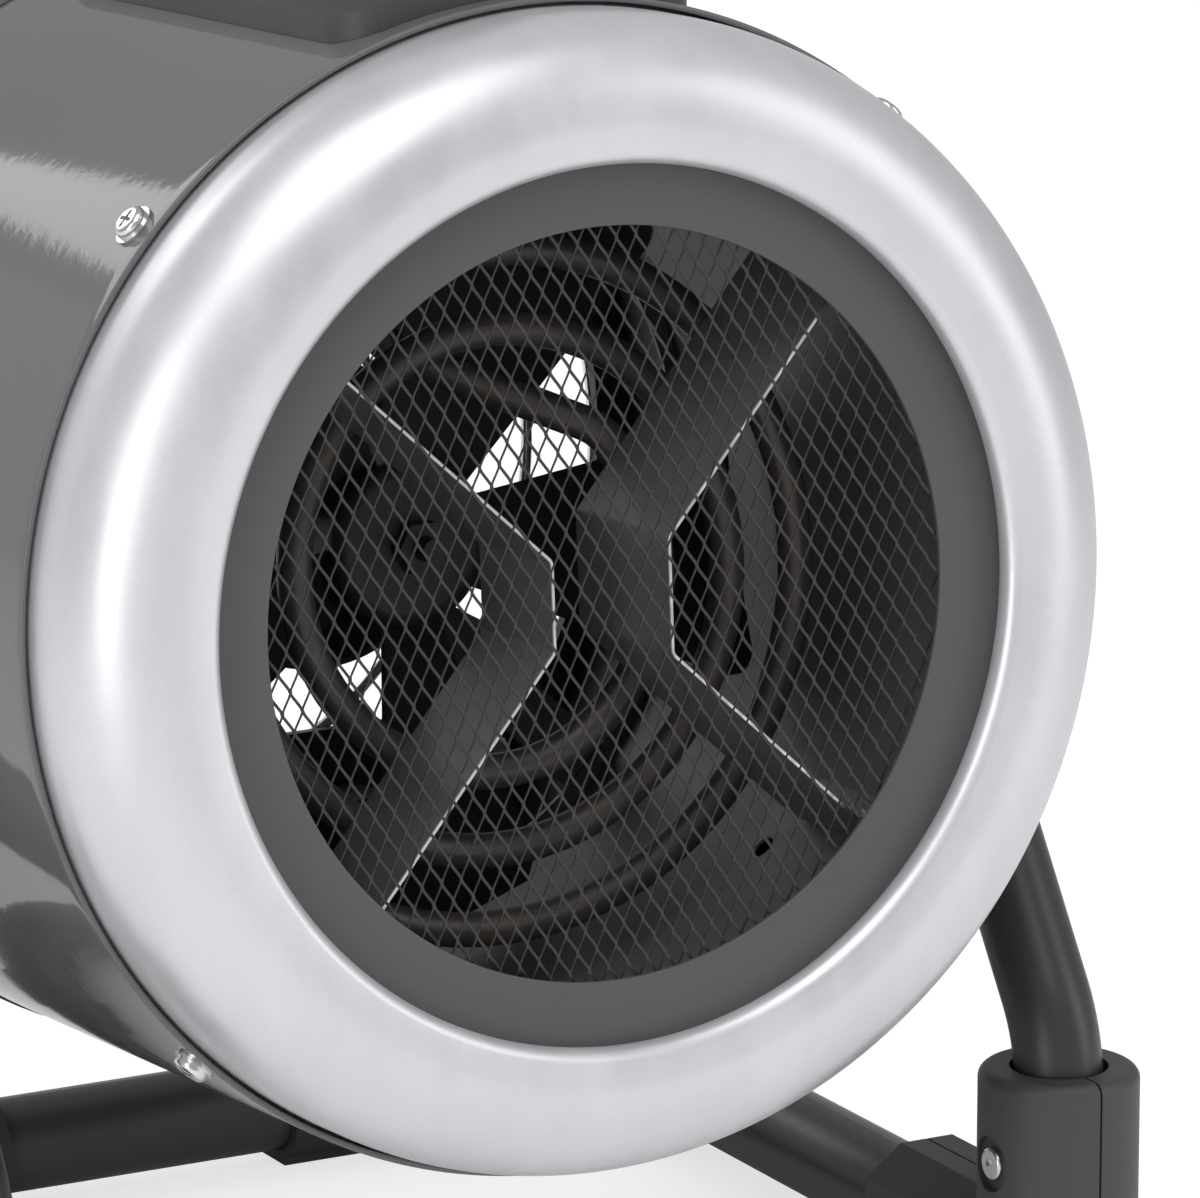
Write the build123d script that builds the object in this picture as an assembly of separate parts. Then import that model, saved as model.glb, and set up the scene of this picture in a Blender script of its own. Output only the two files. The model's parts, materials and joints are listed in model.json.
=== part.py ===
from build123d import *
import os
from math import atan2, cos, degrees, hypot, pi, radians, sin, sqrt, tan

# Electric garage heater: a fan heater in a round steel casing that tilts on a bent tube stand.
# Millimetres and degrees. X points to the right seen from the front, Y backwards, Z up.
# Head pieces are drawn about the head's own axis: Y is depth behind the grille bezel's front
# face, Z is up before the head is tilted. Angles around the head run from +X towards +Z.

# Fits
shaft_fit = 0.05
seat_fit = 0.1
moving_gap = 0.3
casing_fit = 0.3

# How far a cutting shape reaches past the face that it cuts
past = 1.0

# Head: front ring
ring_wall = 1.2
ring_inset = 2.4
ring_bulge = 23.5
ring_straight = 11.5
lip_overlap = 3.0
lip_depth = 2.8
lip_flat = 1.0
lip_roll = 4.0
lip_return = 1.5
crest_rise = 0.7
skirt_length = 15.0
skirt_step = 2.0

# Head: casing
casing_radius = 139.0
casing_wall = 1.0
casing_front = 23.5
casing_rear = 196.0
hem_length = 3.5
hem_thickness = 1.5

# Head: grille
bezel_beyond_liner = 4.0
bezel_band = 14.7
bezel_thickness = 1.5
mesh_inset = 6.0
mesh_thickness = 0.8
mesh_pitch_across = 10.2
mesh_pitch_up = 17.8
mesh_strand = 1.2
retainer_thickness = 1.2
retainer_width = 14.0

# Head: liner and baffle
duct_gap = 33.0
liner_wall = 0.8
liner_rear = 149.0
liner_flange_depth = 16.0
baffle_thickness = 1.2
baffle_lip = 4.0
sight_hole_radius = 3.0
sight_hole_angle = -47.0
sight_hole_depth = 60.0

# Head: element brackets, bent from strip and set on edge
strip_thickness = 1.0
strip_rear = 52.5
left_strip_front = 17.0
left_strip_x = -6.0
left_strip_top = 8.5
left_strip_bottom = -13.0
left_arm_up = 137.0
left_arm_down = -131.0
right_strip_front = 7.5
right_strip_x = 20.0
right_strip_top = 12.6
right_strip_bottom = -15.0
right_arm_up = 49.0
right_arm_down = -43.3
strip_tab_turn = 6.0
rivet_radius = 1.6
rivet_head_radius = 3.0
rivet_head_height = 1.0

# Head: heating element, a flat spiral of sheathed tube
element_radius = 4.25
element_pitch = 19.0
element_duct_gap = 14.25
element_half_turns = 4
element_start_angle = 32.0
element_end_angle = -118.0
element_strip_gap = 0.25
lead_straight = 14.0
lead_bend = 13.0
inner_lead_height = 52.0
inner_lead_side = -16.0
inner_lead_depth = 21.0
outer_lead_inset = 22.0
terminal_depth = 82.0
inner_terminal_angle = 112.0
outer_terminal_angle = -131.0
terminal_overhang = 4.0
bush_radius = 8.6
bush_neck_radius = 6.6
bush_flange = 3.6
bush_outside = 3.0
bush_bore_length = 80.0
stud_radius = 2.0
stud_length = 9.0
stud_nut_place = 2.7
stud_nut_radius = 4.0
stud_nut_thickness = 3.0

# Head: fan and motor
fan_depth = 110.0
fan_tip_gap = 7.2
fan_hub_radius = 21.0
fan_hub_length = 24.0
fan_hub_rounding = 4.0
fan_blades = 5
blade_first_angle = 63.0
blade_half_angle = 20.0
blade_root_half = 11.0
blade_root_inside_hub = 6.0
blade_tip_rounding = 10.0
blade_pitch = 28.0
blade_thickness = 1.5
shaft_radius = 3.0
shaft_front = 88.0
nut_across = 12.0
nut_thickness = 5.0
motor_radius = 28.0
motor_front = 132.0
motor_length = 50.0
motor_shoulder = 5.0
motor_flange_width = 8.0
motor_flange_thickness = 2.5
shaft_behind_motor = 4.0
bracket_sheet = 2.0
bracket_arm_width = 14.0
bracket_ring_width = 10.0
bracket_beyond_liner = 12.0
bracket_arm_angles = (45, 135, 225, 315)
bracket_screw_radius = 2.0
bracket_screw_head = 3.8
bracket_screw_head_height = 2.4
bracket_screw_rounding = 1.2
bracket_screw_ahead = 1.5

# Head: rear housing
housing_overhang = 0.5
housing_rear = 239.0
housing_plate = 3.0
housing_edge = 6.0
housing_spigot = 8.0
housing_spigot_wall = 2.5
inlet_edge_gap = 14.5
inlet_panel_gap = 6.0
guard_wire = 1.5
guard_frame = 3.0
guard_rings = 6
guard_ribs = 6
guard_first_rib = 30.0
guard_rib_inset = 0.4
guard_rib_depth = 2.2
guard_rib_width = 3.2
guard_bar_height = 4.4
guard_bar_depth = 4.0
guard_bar_end = 3.0
guard_tab_inside = 2.5
guard_tab_beyond = 5.0
guard_tab_width = 8.0
guard_tab_angles = (0, 60, 120, 180)

# Head: controls
panel_width = 120.0
panel_height = 40.0
panel_thickness = 2.0
panel_edge_gap = 20.5
panel_corner = 6.0
knob_spacing = 68.0
knob_radius = 15.0
knob_height = 16.0
knob_skirt_height = 4.0
knob_skirt_extra = 2.0
knob_grip_width = 9.0
knob_shaft_radius = 3.0
knob_shaft_clearance = 1.0
switch_width = 30.0
switch_height = 24.0
switch_depth = 24.0
lamp_radius = 4.0
lamp_rise = 9.0
lamp_dome = 3.0
lamp_flange = 1.5
lamp_inside = 4.0
button_radius = 5.0
button_drop = 11.0
button_out = 5.0
button_travel = 3.0
button_sunk = 2.0
button_rounding = 1.2
button_stem = 2.0
button_stem_length = 9.0
button_switch_width = 16.0
button_switch_depth = 14.0
button_switch_post = 1.6
button_switch_lower = 2.4
block_width = 26.0
block_height = 18.0
block_depth = 16.0
block_edge_gap = 25.0
block_angle = -50.0
block_hole_radius = 2.4
block_hole_depth = 6.0
block_hole_spacing = 8.0
gland_edge_gap = 18.0
gland_angle = -132.0
gland_radius = 9.0
gland_neck_radius = 6.75
gland_length = 17.0
gland_cone_length = 5.0
gland_cone_step = 3.0
gland_bore = 4.2
gland_nut_thickness = 5.0
cutout_radius = 8.0
cutout_height = 10.0
cutout_angle = -90.0
cutout_depth = 75.0
cutout_tab_length = 7.0
cutout_tab_width = 6.0
cutout_tab_thickness = 0.8
cutout_tab_offset = 4.0

# Head: handle
handle_width = 94.0
handle_front = 31.0
handle_rear = 190.0
handle_skin = 6.0
handle_corner = 12.0
plateau_width = 68.0
plateau_inset = 24.0
plateau_rear_inset = 10.0
plateau_height = 12.0
plateau_corner = 8.0
plateau_rounding = 3.0
grip_width = 30.0
grip_thickness = 16.0
grip_corner = 6.4
grip_leg_inset = 10.0
grip_rise = 50.0
grip_bend = 26.0
handle_screw_x = 29.0
handle_screw_inset = 16.0
handle_screw_rear_inset = 25.0
handle_screw_radius = 2.5
handle_screw_head = 4.6
handle_screw_head_height = 2.2
handle_screw_rounding = 1.4
handle_screw_inside = 10.0
handle_screw_recess = 6.0
handle_screw_floor = 2.2

# Head: screws through the casing
casing_screw_depth = 32.5
casing_screw_radius = 2.0
casing_screw_head = 4.25
casing_screw_flange = 5.2
casing_screw_flange_thickness = 0.8
casing_screw_head_height = 2.4
casing_screw_rounding = 1.44
casing_screw_inside = 5.0
recess_width = 1.0
recess_reach = 2.4
recess_depth = 1.4

# Tilt pivot
pivot_depth = 126.0
tilt_at_rest = 4.0
boss_radius = 17.0
boss_rounding = 1.5
bolt_radius = 4.0
bolt_inside_plate = 4.0
nut_plate_radius = 14.0
nut_plate_thickness = 6.0
tilt_knob_radius = 19.0
tilt_knob_length = 20.0
tilt_knob_lobes = 6
tilt_knob_scallop = 7.0
tilt_knob_scallop_out = 3.15
tilt_knob_rounding = 2.0
tilt_knob_collar = 11.0
tilt_knob_collar_length = 4.0

# Stand
stand_side_gap = 8.0
floor_tube_radius = 12.5
floor_tube_wall = 1.5
floor_tube_height = 15.5
floor_tube_bend = 45.0
rear_tube_behind = 134.3
upright_radius = 11.0
upright_wall = 1.5
pivot_height = 204.3
collar_ahead = 86.7
upright_lean = 34.2
upright_bend = 40.0
eye_thickness = 5.0
eye_radius = 15.0
pressed_swell = 0.4
flatten_start = 62.0
flatten_end = 28.0

# Corner fittings
collar_radius = 20.0
collar_height = 54.6
collar_rim = 3.0
collar_mouth_gap = 1.3
collar_mouth_depth = 6.0
sleeve_half = 18.0
sleeve_flat = 7.5
sleeve_shoulder = 10.5
sleeve_top = 18.0
sleeve_bottom = 14.5
sleeve_bottom_chamfer = 6.5
sleeve_length = 65.5
sleeve_taper = 2.5
sleeve_taper_length = 1.5
fitting_seam = 0.6
upright_seat = 1.0
tube_end_ahead = 6.0
fitting_screw_radius = 1.9
fitting_screw_head = 4.2
fitting_screw_head_height = 2.0
fitting_screw_rounding = 1.0
fitting_screw_hole_depth = 4.0
fitting_driver_radius = 1.6
fitting_driver_depth = 1.2
fitting_screw_length = 11.0
fitting_screw_height = 32.0
fitting_screw_recess = 7.0
fitting_recess_floor = 2.2
sleeve_screw_behind = 45.0

# Rubber feet
clip_foot_offset = 53.5
clip_foot_length = 25.0
clip_foot_wall = 2.5
clip_foot_width = 14.0
pad_width = 18.0
pad_length = 44.0
pad_recess = 0.8
pad_behind_collar = 32.0

# Places worked out from the sizes above
stand_half_width = casing_radius + stand_side_gap
ring_radius = casing_radius - ring_inset
liner_radius = casing_radius - duct_gap
lip_radius = liner_radius - lip_overlap
bezel_outer = liner_radius + bezel_beyond_liner
bezel_opening = lip_radius - bezel_band
mesh_radius = liner_radius - mesh_inset
retainer_inner = liner_radius - retainer_width
ring_front = -(lip_depth + lip_flat + lip_roll + crest_rise)
bulge_centre_depth = ring_front + ring_bulge
bulge_centre_radius = ring_radius - ring_bulge
ring_step_depth = bulge_centre_depth + ring_straight
skirt_radius = casing_radius - casing_wall - casing_fit
skirt_rear = ring_step_depth + skirt_step + skirt_length
mesh_front = bezel_thickness
retainer_front = mesh_front + mesh_thickness
liner_front = retainer_front + retainer_thickness
liner_inner = liner_radius - liner_wall
casing_inner = casing_radius - casing_wall
element_depth = strip_rear + element_strip_gap + element_radius
element_growth = element_pitch / 2
element_first_radius = liner_inner - element_duct_gap - element_growth * (element_half_turns + 1)
outer_lead_radius = liner_radius - outer_lead_inset
terminal_reach = liner_radius + terminal_overhang
fan_radius = liner_inner - fan_tip_gap
fan_front = fan_depth - fan_hub_length / 2
baffle_rear = liner_rear + baffle_thickness
bracket_rear = baffle_rear + bracket_sheet
bracket_reach = liner_radius + bracket_beyond_liner
motor_flange_radius = motor_radius + motor_flange_width
motor_flange_front = baffle_rear - motor_flange_thickness
flange_screw_circle = (motor_radius + motor_flange_radius) / 2
baffle_screw_circle = (liner_radius + bracket_reach) / 2
motor_rear = motor_front + motor_length
shaft_rear = motor_rear + shaft_behind_motor
panel_rear = housing_rear + panel_thickness
housing_radius = casing_radius + housing_overhang
housing_inside = housing_rear - housing_plate
housing_inner_radius = casing_inner - casing_fit - housing_spigot_wall
panel_height_below = housing_radius - panel_edge_gap - panel_height / 2
inlet_radius = housing_radius - inlet_edge_gap
inlet_floor = -panel_height_below + panel_height / 2 + inlet_panel_gap
guard_radius = inlet_radius + guard_frame
guard_floor = inlet_floor - guard_frame
lamp_z = -panel_height_below + lamp_rise
button_z = -panel_height_below - button_drop
switch_front = housing_inside - switch_depth
block_circle = casing_radius - block_edge_gap
block_x = block_circle * cos(radians(block_angle))
block_z = block_circle * sin(radians(block_angle))
gland_circle = casing_radius - gland_edge_gap
gland_x = gland_circle * cos(radians(gland_angle))
gland_z = gland_circle * sin(radians(gland_angle))
boss_face = stand_half_width - eye_thickness / 2 - moving_gap
collar_y = -collar_ahead
plateau_top = casing_radius + plateau_height
screw_floor = sqrt(casing_radius**2 - handle_screw_x**2) + handle_screw_floor
nut_plate_outer = sqrt(casing_inner**2 - nut_plate_radius**2) - seat_fit
nut_plate_inner = nut_plate_outer - nut_plate_thickness
head_place = (
    Pos(0, 0, pivot_height)
    * Rot(-tilt_at_rest, 0, 0)
    * Pos(0, -pivot_depth, 0)
)
casing_screw_angles = (47.0, 137.0, -133.5, -43.5)
handle_screw_depths = (
    handle_front + handle_screw_inset,
    handle_rear - handle_screw_rear_inset,
)

pieces = {}


def lathe(*points):
    """Solid turned about Y from a closed outline of (radius, depth) points."""
    outline = Polyline(*points, close=True)
    return revolve(make_face(outline.edges()), Axis.Y)


def band(inner, outer, front, rear):
    """Ring about Y with a rectangular section."""
    return lathe((inner, front), (outer, front), (outer, rear), (inner, rear))


def rod_x(radius, start, end, y=0.0, z=0.0):
    """Round rod along X."""
    return Pos((start + end) / 2, y, z) * Rot(0, 90, 0) * Cylinder(radius, abs(end - start))


def rod_y(radius, start, end, x=0.0, z=0.0):
    """Round rod along Y."""
    return Pos(x, (start + end) / 2, z) * Rot(90, 0, 0) * Cylinder(radius, abs(end - start))


def rod_z(radius, start, end, x=0.0, y=0.0):
    """Round rod along Z."""
    return Pos(x, y, (start + end) / 2) * Cylinder(radius, abs(end - start))


def block(x_range, y_range, z_range):
    """Box between the given limits."""
    sizes = [limits[1] - limits[0] for limits in (x_range, y_range, z_range)]
    middle = [(limits[0] + limits[1]) / 2 for limits in (x_range, y_range, z_range)]
    return Pos(*middle) * Box(*sizes)


def around(angle):
    """Turn about the head's axis, from +X towards +Z."""
    return Rot(0, -angle, 0)


def on_circle(radius, angle, depth, centre_z=0.0):
    """Point at an angle round the head's axis."""
    return (
        radius * cos(radians(angle)),
        depth,
        centre_z + radius * sin(radians(angle)),
    )


def cross_recess(top):
    """Cross-shaped driver recess cut down from a screw head's top, which faces +X."""
    across = (top - recess_depth, top + past)
    wide = (-recess_reach, recess_reach)
    narrow = (-recess_width / 2, recess_width / 2)
    return block(across, wide, narrow) + block(across, narrow, wide)


def front_ring():
    """Pressed ring round the outlet, with a rolled lip and a skirt inside the casing."""
    crest = ring_front
    roll_centre = (lip_radius + lip_roll, -(lip_depth + lip_flat))
    bulge_centre = (bulge_centre_radius, bulge_centre_depth)

    def face_of_sheet(inset):
        lip = lip_radius + inset
        outer = ring_radius - inset
        skirt = skirt_radius - inset
        roll_end = (roll_centre[0], roll_centre[1] - lip_roll + inset)
        bulge_start = (bulge_centre[0], crest + inset)
        step = ring_step_depth + inset / 3
        return [
            Line((lip + lip_return, 0), (lip, -lip_depth)),
            Line((lip, -lip_depth), (lip, roll_centre[1])),
            CenterArc(roll_centre, lip_roll - inset, 180, 90),
            Line(roll_end, bulge_start),
            CenterArc(bulge_centre, ring_bulge - inset, 270, 90),
            Line((outer, bulge_centre[1]), (outer, step)),
            Line((outer, step), (skirt, step + skirt_step)),
            Line((skirt, step + skirt_step), (skirt, skirt_rear)),
        ]

    outside = face_of_sheet(0.0)
    inside = face_of_sheet(ring_wall)
    ends = [
        Line(outside[0] @ 0, inside[0] @ 0),
        Line(outside[-1] @ 1, inside[-1] @ 1),
    ]
    ring = revolve(make_face(outside + inside + ends), Axis.Y)
    for angle in casing_screw_angles:
        span = (ring_radius - ring_inset, casing_radius)
        ring -= around(angle) * rod_x(casing_screw_radius + seat_fit, *span, casing_screw_depth)
    return ring


def outer_casing():
    """Rolled casing tube with a folded hem at the front."""
    edge = hem_thickness / 2
    hem_inner = casing_radius - hem_thickness
    hem_rear = casing_front + hem_length
    points = [
        (casing_radius, casing_front + edge),
        (casing_radius, casing_rear),
        (casing_inner, casing_rear),
        (casing_inner, hem_rear),
        (hem_inner, hem_rear),
        (hem_inner, casing_front + edge),
    ]
    edges = list(Polyline(*points).edges())
    edges.append(CenterArc((casing_radius - edge, casing_front + edge), edge, 180, 180))
    casing = revolve(make_face(edges), Axis.Y)
    for angle in casing_screw_angles:
        hole = rod_x(casing_screw_radius + seat_fit, ring_radius, casing_radius + past, casing_screw_depth)
        casing -= around(angle) * hole
    casing -= rod_x(bolt_radius + moving_gap, -casing_radius - past, casing_radius + past, pivot_depth)
    for depth in handle_screw_depths:
        for x in (-handle_screw_x, handle_screw_x):
            casing -= rod_z(handle_screw_radius + seat_fit, liner_radius, casing_radius + past, x, depth)
    return casing


def casing_screws():
    """Four flanged pan-head screws that join the casing to the ring's skirt."""
    screws = []
    flange_top = casing_radius + casing_screw_flange_thickness
    head_top = flange_top + casing_screw_head_height
    for angle in casing_screw_angles:
        shank = rod_x(
            casing_screw_radius,
            casing_radius - casing_screw_inside,
            casing_radius,
            casing_screw_depth,
        )
        flange = rod_x(casing_screw_flange, casing_radius, flange_top, casing_screw_depth)
        head = rod_x(casing_screw_head, flange_top, head_top, casing_screw_depth)
        head = fillet(head.edges().group_by(Axis.X)[-1], casing_screw_rounding)
        recess = Pos(0, casing_screw_depth, 0) * cross_recess(head_top)
        screws.append(around(angle) * (shank + flange + head - recess))
    return screws


def grille_bezel():
    """Flat dark ring seen round the mesh."""
    return band(bezel_opening, bezel_outer, 0, bezel_thickness)


def front_mesh():
    """Expanded mesh as one flat sheet with diamond holes."""
    half_across = mesh_pitch_across / 2
    half_up = mesh_pitch_up / 2
    slope = atan2(half_up, half_across)
    hole_across = half_across - mesh_strand / 2 / sin(slope)
    hole_up = half_up - mesh_strand / 2 / cos(slope)
    rows = int(bezel_opening / half_up) + 1
    columns = int(bezel_opening / mesh_pitch_across) + 1
    limit = retainer_inner - mesh_strand
    holes = []
    for row in range(-rows, rows + 1):
        for column in range(-columns, columns + 1):
            x = column * mesh_pitch_across + (row % 2) * half_across
            z = row * half_up
            furthest = max(hypot(abs(x) + hole_across, z), hypot(x, abs(z) + hole_up))
            if furthest > limit:
                continue
            corners = [
                (x - hole_across, z),
                (x, z - hole_up),
                (x + hole_across, z),
                (x, z + hole_up),
            ]
            holes.append(Wire(Polyline(*corners, close=True).edges()))
    print("mesh gaps:", len(holes))
    sheet = Face(Wire.make_circle(mesh_radius), holes)
    flat = extrude(sheet, mesh_thickness, dir=(0, 0, 1))
    return Pos(0, mesh_front + mesh_thickness, 0) * Rot(90, 0, 0) * flat


def mesh_retainer():
    """Ring that clamps the mesh against the bezel."""
    return band(retainer_inner, liner_radius, retainer_front, liner_front)


def inner_liner():
    """Air duct with a locating flange inside the front ring."""
    flange_outer = ring_radius - ring_wall - casing_fit
    duct = band(liner_inner, liner_radius, liner_front, liner_rear)
    flange_rear = liner_flange_depth + liner_wall
    duct += band(liner_inner, flange_outer, liner_flange_depth, flange_rear)
    for angle in (inner_terminal_angle, outer_terminal_angle):
        hole = rod_x(bush_neck_radius + seat_fit, liner_inner - past, liner_radius + past, terminal_depth)
        duct -= around(angle) * hole
    for angle, _, depth in strip_ends():
        hole = rod_x(rivet_radius + seat_fit, liner_inner - past, liner_radius + past, depth)
        duct -= around(angle) * hole
    sight = rod_x(sight_hole_radius, liner_inner - past, liner_radius + past, sight_hole_depth)
    duct -= around(sight_hole_angle) * sight
    return duct


def rear_baffle():
    """Ring plate that closes the space between liner and casing and carries the motor bracket."""
    plate = band(liner_inner - baffle_lip, casing_inner - casing_fit, liner_rear, baffle_rear)
    for angle in bracket_arm_angles:
        x, _, z = on_circle(baffle_screw_circle, angle, 0)
        plate -= rod_y(bracket_screw_radius + seat_fit, liner_rear - past, baffle_rear + past, x, z)
    notch_inner = nut_plate_inner - bolt_inside_plate - seat_fit
    notch = rod_x(nut_plate_radius + seat_fit, notch_inner, casing_radius, pivot_depth)
    return plate - notch - mirror(notch, about=Plane.YZ)


def strip_centre_line(centre_x, top, bottom, arm_up, arm_down):
    """Bend points of a strip, seen from the front, with a tab along the liner at each end."""
    reach = liner_inner - strip_thickness

    def arm_end(corner, angle):
        ux = cos(radians(angle))
        uz = sin(radians(angle))
        along = corner[0] * ux + corner[1] * uz
        run = -along + sqrt(along**2 - hypot(*corner) ** 2 + reach**2)
        return (corner[0] + run * ux, corner[1] + run * uz)

    def tab_end(end, turn):
        angle = degrees(atan2(end[1], end[0])) + turn
        return (reach * cos(radians(angle)), reach * sin(radians(angle)))

    side = 1 if centre_x < 0 else -1
    upper = arm_end((centre_x, top), arm_up)
    lower = arm_end((centre_x, bottom), arm_down)
    return [
        tab_end(upper, side * strip_tab_turn),
        upper,
        (centre_x, top),
        (centre_x, bottom),
        lower,
        tab_end(lower, -side * strip_tab_turn),
    ]


def left_line():
    """Bend points of the left strip."""
    return strip_centre_line(
        left_strip_x, left_strip_top, left_strip_bottom, left_arm_up, left_arm_down
    )


def right_line():
    """Bend points of the right strip."""
    return strip_centre_line(
        right_strip_x, right_strip_top, right_strip_bottom, right_arm_up, right_arm_down
    )


def strip_ends():
    """Angle, distance from the head's axis and depth of each rivet through a strip's tab."""
    ends = []
    for line, front in ((left_line(), left_strip_front), (right_line(), right_strip_front)):
        depth = (front + strip_rear) / 2
        for tab, corner in ((line[0], line[1]), (line[-1], line[-2])):
            middle = ((tab[0] + corner[0]) / 2, (tab[1] + corner[1]) / 2)
            ends.append((degrees(atan2(middle[1], middle[0])), hypot(*middle), depth))
    return ends


def element_bracket(line, front):
    """Strip on edge, folded at its bend points."""
    outline = []
    for first, second in zip(line[:-1], line[1:]):
        length = hypot(second[0] - first[0], second[1] - first[1])
        angle = degrees(atan2(second[1] - first[1], second[0] - first[0]))
        middle = ((first[0] + second[0]) / 2, (first[1] + second[1]) / 2)
        outline.append(Pos(*middle) * Rot(0, 0, angle) * Rectangle(length, strip_thickness))
    for corner in line[1:-1]:
        outline.append(Pos(*corner) * Circle(strip_thickness / 2))
    section = outline[0]
    for piece in outline[1:]:
        section += piece
    strip = extrude(section, strip_rear - front, dir=(0, 0, 1))
    strip = Pos(0, strip_rear, 0) * Rot(90, 0, 0) * strip
    for angle, reach, depth in strip_ends():
        span = (reach - strip_thickness - past, reach + strip_thickness + past)
        strip -= around(angle) * rod_x(rivet_radius + seat_fit, *span, depth)
    return strip


def bracket_rivets():
    """Rivets that hold the strips' tabs to the liner."""
    rivets = []
    for angle, reach, depth in strip_ends():
        inside = reach - strip_thickness / 2 - rivet_head_height
        outside = liner_radius + rivet_head_height
        rivet = rod_x(rivet_radius, inside, outside, depth)
        rivet += rod_x(rivet_head_radius, inside, reach - strip_thickness / 2, depth)
        rivet += rod_x(rivet_head_radius, liner_radius, outside, depth)
        rivets.append(around(angle) * rivet)
    return rivets


def half_turn(index, start, end):
    """Arc of one turn of the spiral, between two angles, growing clockwise from the front."""
    centre_z = (-1) ** (index + 1) * element_pitch / 4
    radius = element_first_radius + index * element_growth
    middle = (start + end) / 2
    points = [on_circle(radius, angle, element_depth, centre_z) for angle in (start, middle, end)]
    return ThreePointArc(*points)


def element_spiral():
    """Arcs of the flat spiral from its inner end to its outer end."""
    arcs = [half_turn(0, element_start_angle, -90)]
    angle = -90
    for index in range(1, element_half_turns + 1):
        arcs.append(half_turn(index, angle, angle - 180))
        angle -= 180
    arcs.append(half_turn(element_half_turns + 1, angle, angle + 90 + element_end_angle))
    return arcs


def lead_path(start, direction, waypoints):
    """Straight out of the spiral's end, then bends through the waypoints."""
    first = Vector(*start) + direction * lead_straight
    return FilletPolyline(start, first, *waypoints, radius=lead_bend)


def heating_element():
    """One sheathed tube: inner lead, flat spiral and outer lead."""
    arcs = element_spiral()
    inner_start = arcs[0] @ 0
    outer_end = arcs[-1] @ 1
    inner_lead = lead_path(
        inner_start,
        (arcs[0] % 0) * -1,
        [
            (inner_lead_side, element_depth + inner_lead_depth, inner_lead_height),
            on_circle(terminal_reach, inner_terminal_angle, terminal_depth),
        ],
    )
    outer_lead = lead_path(
        outer_end,
        arcs[-1] % 1,
        [
            on_circle(outer_lead_radius, outer_terminal_angle, terminal_depth),
            on_circle(terminal_reach, outer_terminal_angle, terminal_depth),
        ],
    )
    path = Wire(list(inner_lead.edges()) + list(arcs) + list(outer_lead.edges()))
    start = inner_lead @ 1
    section = Plane(origin=start, z_dir=inner_lead % 1) * Circle(element_radius)
    tube = sweep(section, path=path)
    expected = pi * element_radius**2 * path.length
    print("element length", round(path.length, 1), "volume ratio", round(tube.volume / expected, 4))
    print("element least gap", round(element_pitch - 2 * element_radius, 2))
    return tube


def inner_lead_direction():
    """Direction in which the inner lead crosses the liner."""
    bend = Vector(inner_lead_side, element_depth + inner_lead_depth, inner_lead_height)
    return Vector(*on_circle(terminal_reach, inner_terminal_angle, terminal_depth)) - bend


def terminal_places():
    """End point and outward direction of each end of the element."""
    outward = Vector(*on_circle(1, outer_terminal_angle, 0))
    outer_end = Vector(*on_circle(terminal_reach, outer_terminal_angle, terminal_depth))
    inner_end = Vector(*on_circle(terminal_reach, inner_terminal_angle, terminal_depth))
    return [(inner_end, inner_lead_direction().normalized()), (outer_end, outward)]


def element_bushes():
    """Ceramic bushes that insulate the element where it crosses the liner."""
    bushes = []
    for angle in (inner_terminal_angle, outer_terminal_angle):
        seat = liner_inner - seat_fit
        bush = rod_x(bush_radius, seat - bush_flange, seat, terminal_depth)
        limits = (terminal_depth - bush_radius, terminal_depth + bush_radius)
        bush &= band(0, liner_inner - seat_fit / 2, *limits)
        bush += rod_x(bush_neck_radius, seat - bush_flange, liner_radius + bush_outside, terminal_depth)
        bushes.append(around(angle) * bush)
    bores = []
    for end, outward in terminal_places():
        axis = Plane(origin=end, z_dir=outward)
        bores.append(axis * Cylinder(element_radius + seat_fit, bush_bore_length))
    return [bush - bore for bush, bore in zip(bushes, bores)]


def element_studs():
    """Threaded stud in each end of the element, with its nut."""
    studs = []
    for end, outward in terminal_places():
        axis = Plane(origin=end, z_dir=outward)
        stud = axis * Pos(0, 0, stud_length / 2) * Cylinder(stud_radius, stud_length)
        nut = extrude(RegularPolygon(stud_nut_radius, 6), stud_nut_thickness)
        studs.append(stud + axis * Pos(0, 0, stud_nut_place) * nut)
    return studs


def fan_wheel():
    """Pressed wheel: a cup hub with pitched blades."""
    hub = rod_y(fan_hub_radius, fan_front, fan_front + fan_hub_length)
    hub = fillet(hub.edges().group_by(Axis.Y)[0], fan_hub_rounding)
    tip = radians(blade_half_angle)
    root = fan_hub_radius - blade_root_inside_hub
    points = [
        (root, -blade_root_half),
        (fan_radius * cos(tip), -fan_radius * sin(tip)),
        (fan_radius * cos(tip), fan_radius * sin(tip)),
        (root, blade_root_half),
    ]
    outline = [
        Line(points[0], points[1]),
        ThreePointArc(points[1], (fan_radius, 0), points[2]),
        Line(points[2], points[3]),
        Line(points[3], points[0]),
    ]
    blade = extrude(make_face(outline), blade_thickness / 2, both=True)
    blade = fillet(blade.edges().filter_by(Axis.Z).group_by(Axis.X)[-1], blade_tip_rounding)
    blade = Rot(90 + blade_pitch, 0, 0) * blade
    wheel = hub
    for index in range(fan_blades):
        wheel += Pos(0, fan_depth, 0) * around(blade_first_angle + index * 360 / fan_blades) * blade
    return wheel - rod_y(shaft_radius + shaft_fit, fan_front - past, fan_front + fan_hub_length + past)


def motor_shaft():
    """Shaft from the fan nut to the rear of the motor."""
    return rod_y(shaft_radius, shaft_front, shaft_rear)


def fan_nut():
    """Hexagon nut that holds the wheel on the shaft."""
    nut = extrude(RegularPolygon(nut_across / 2, 6, major_radius=False), nut_thickness)
    nut = Pos(0, fan_front, 0) * Rot(90, 0, 0) * nut
    return nut - rod_y(shaft_radius + shaft_fit, fan_front - nut_thickness - past, fan_front + past)


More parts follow.
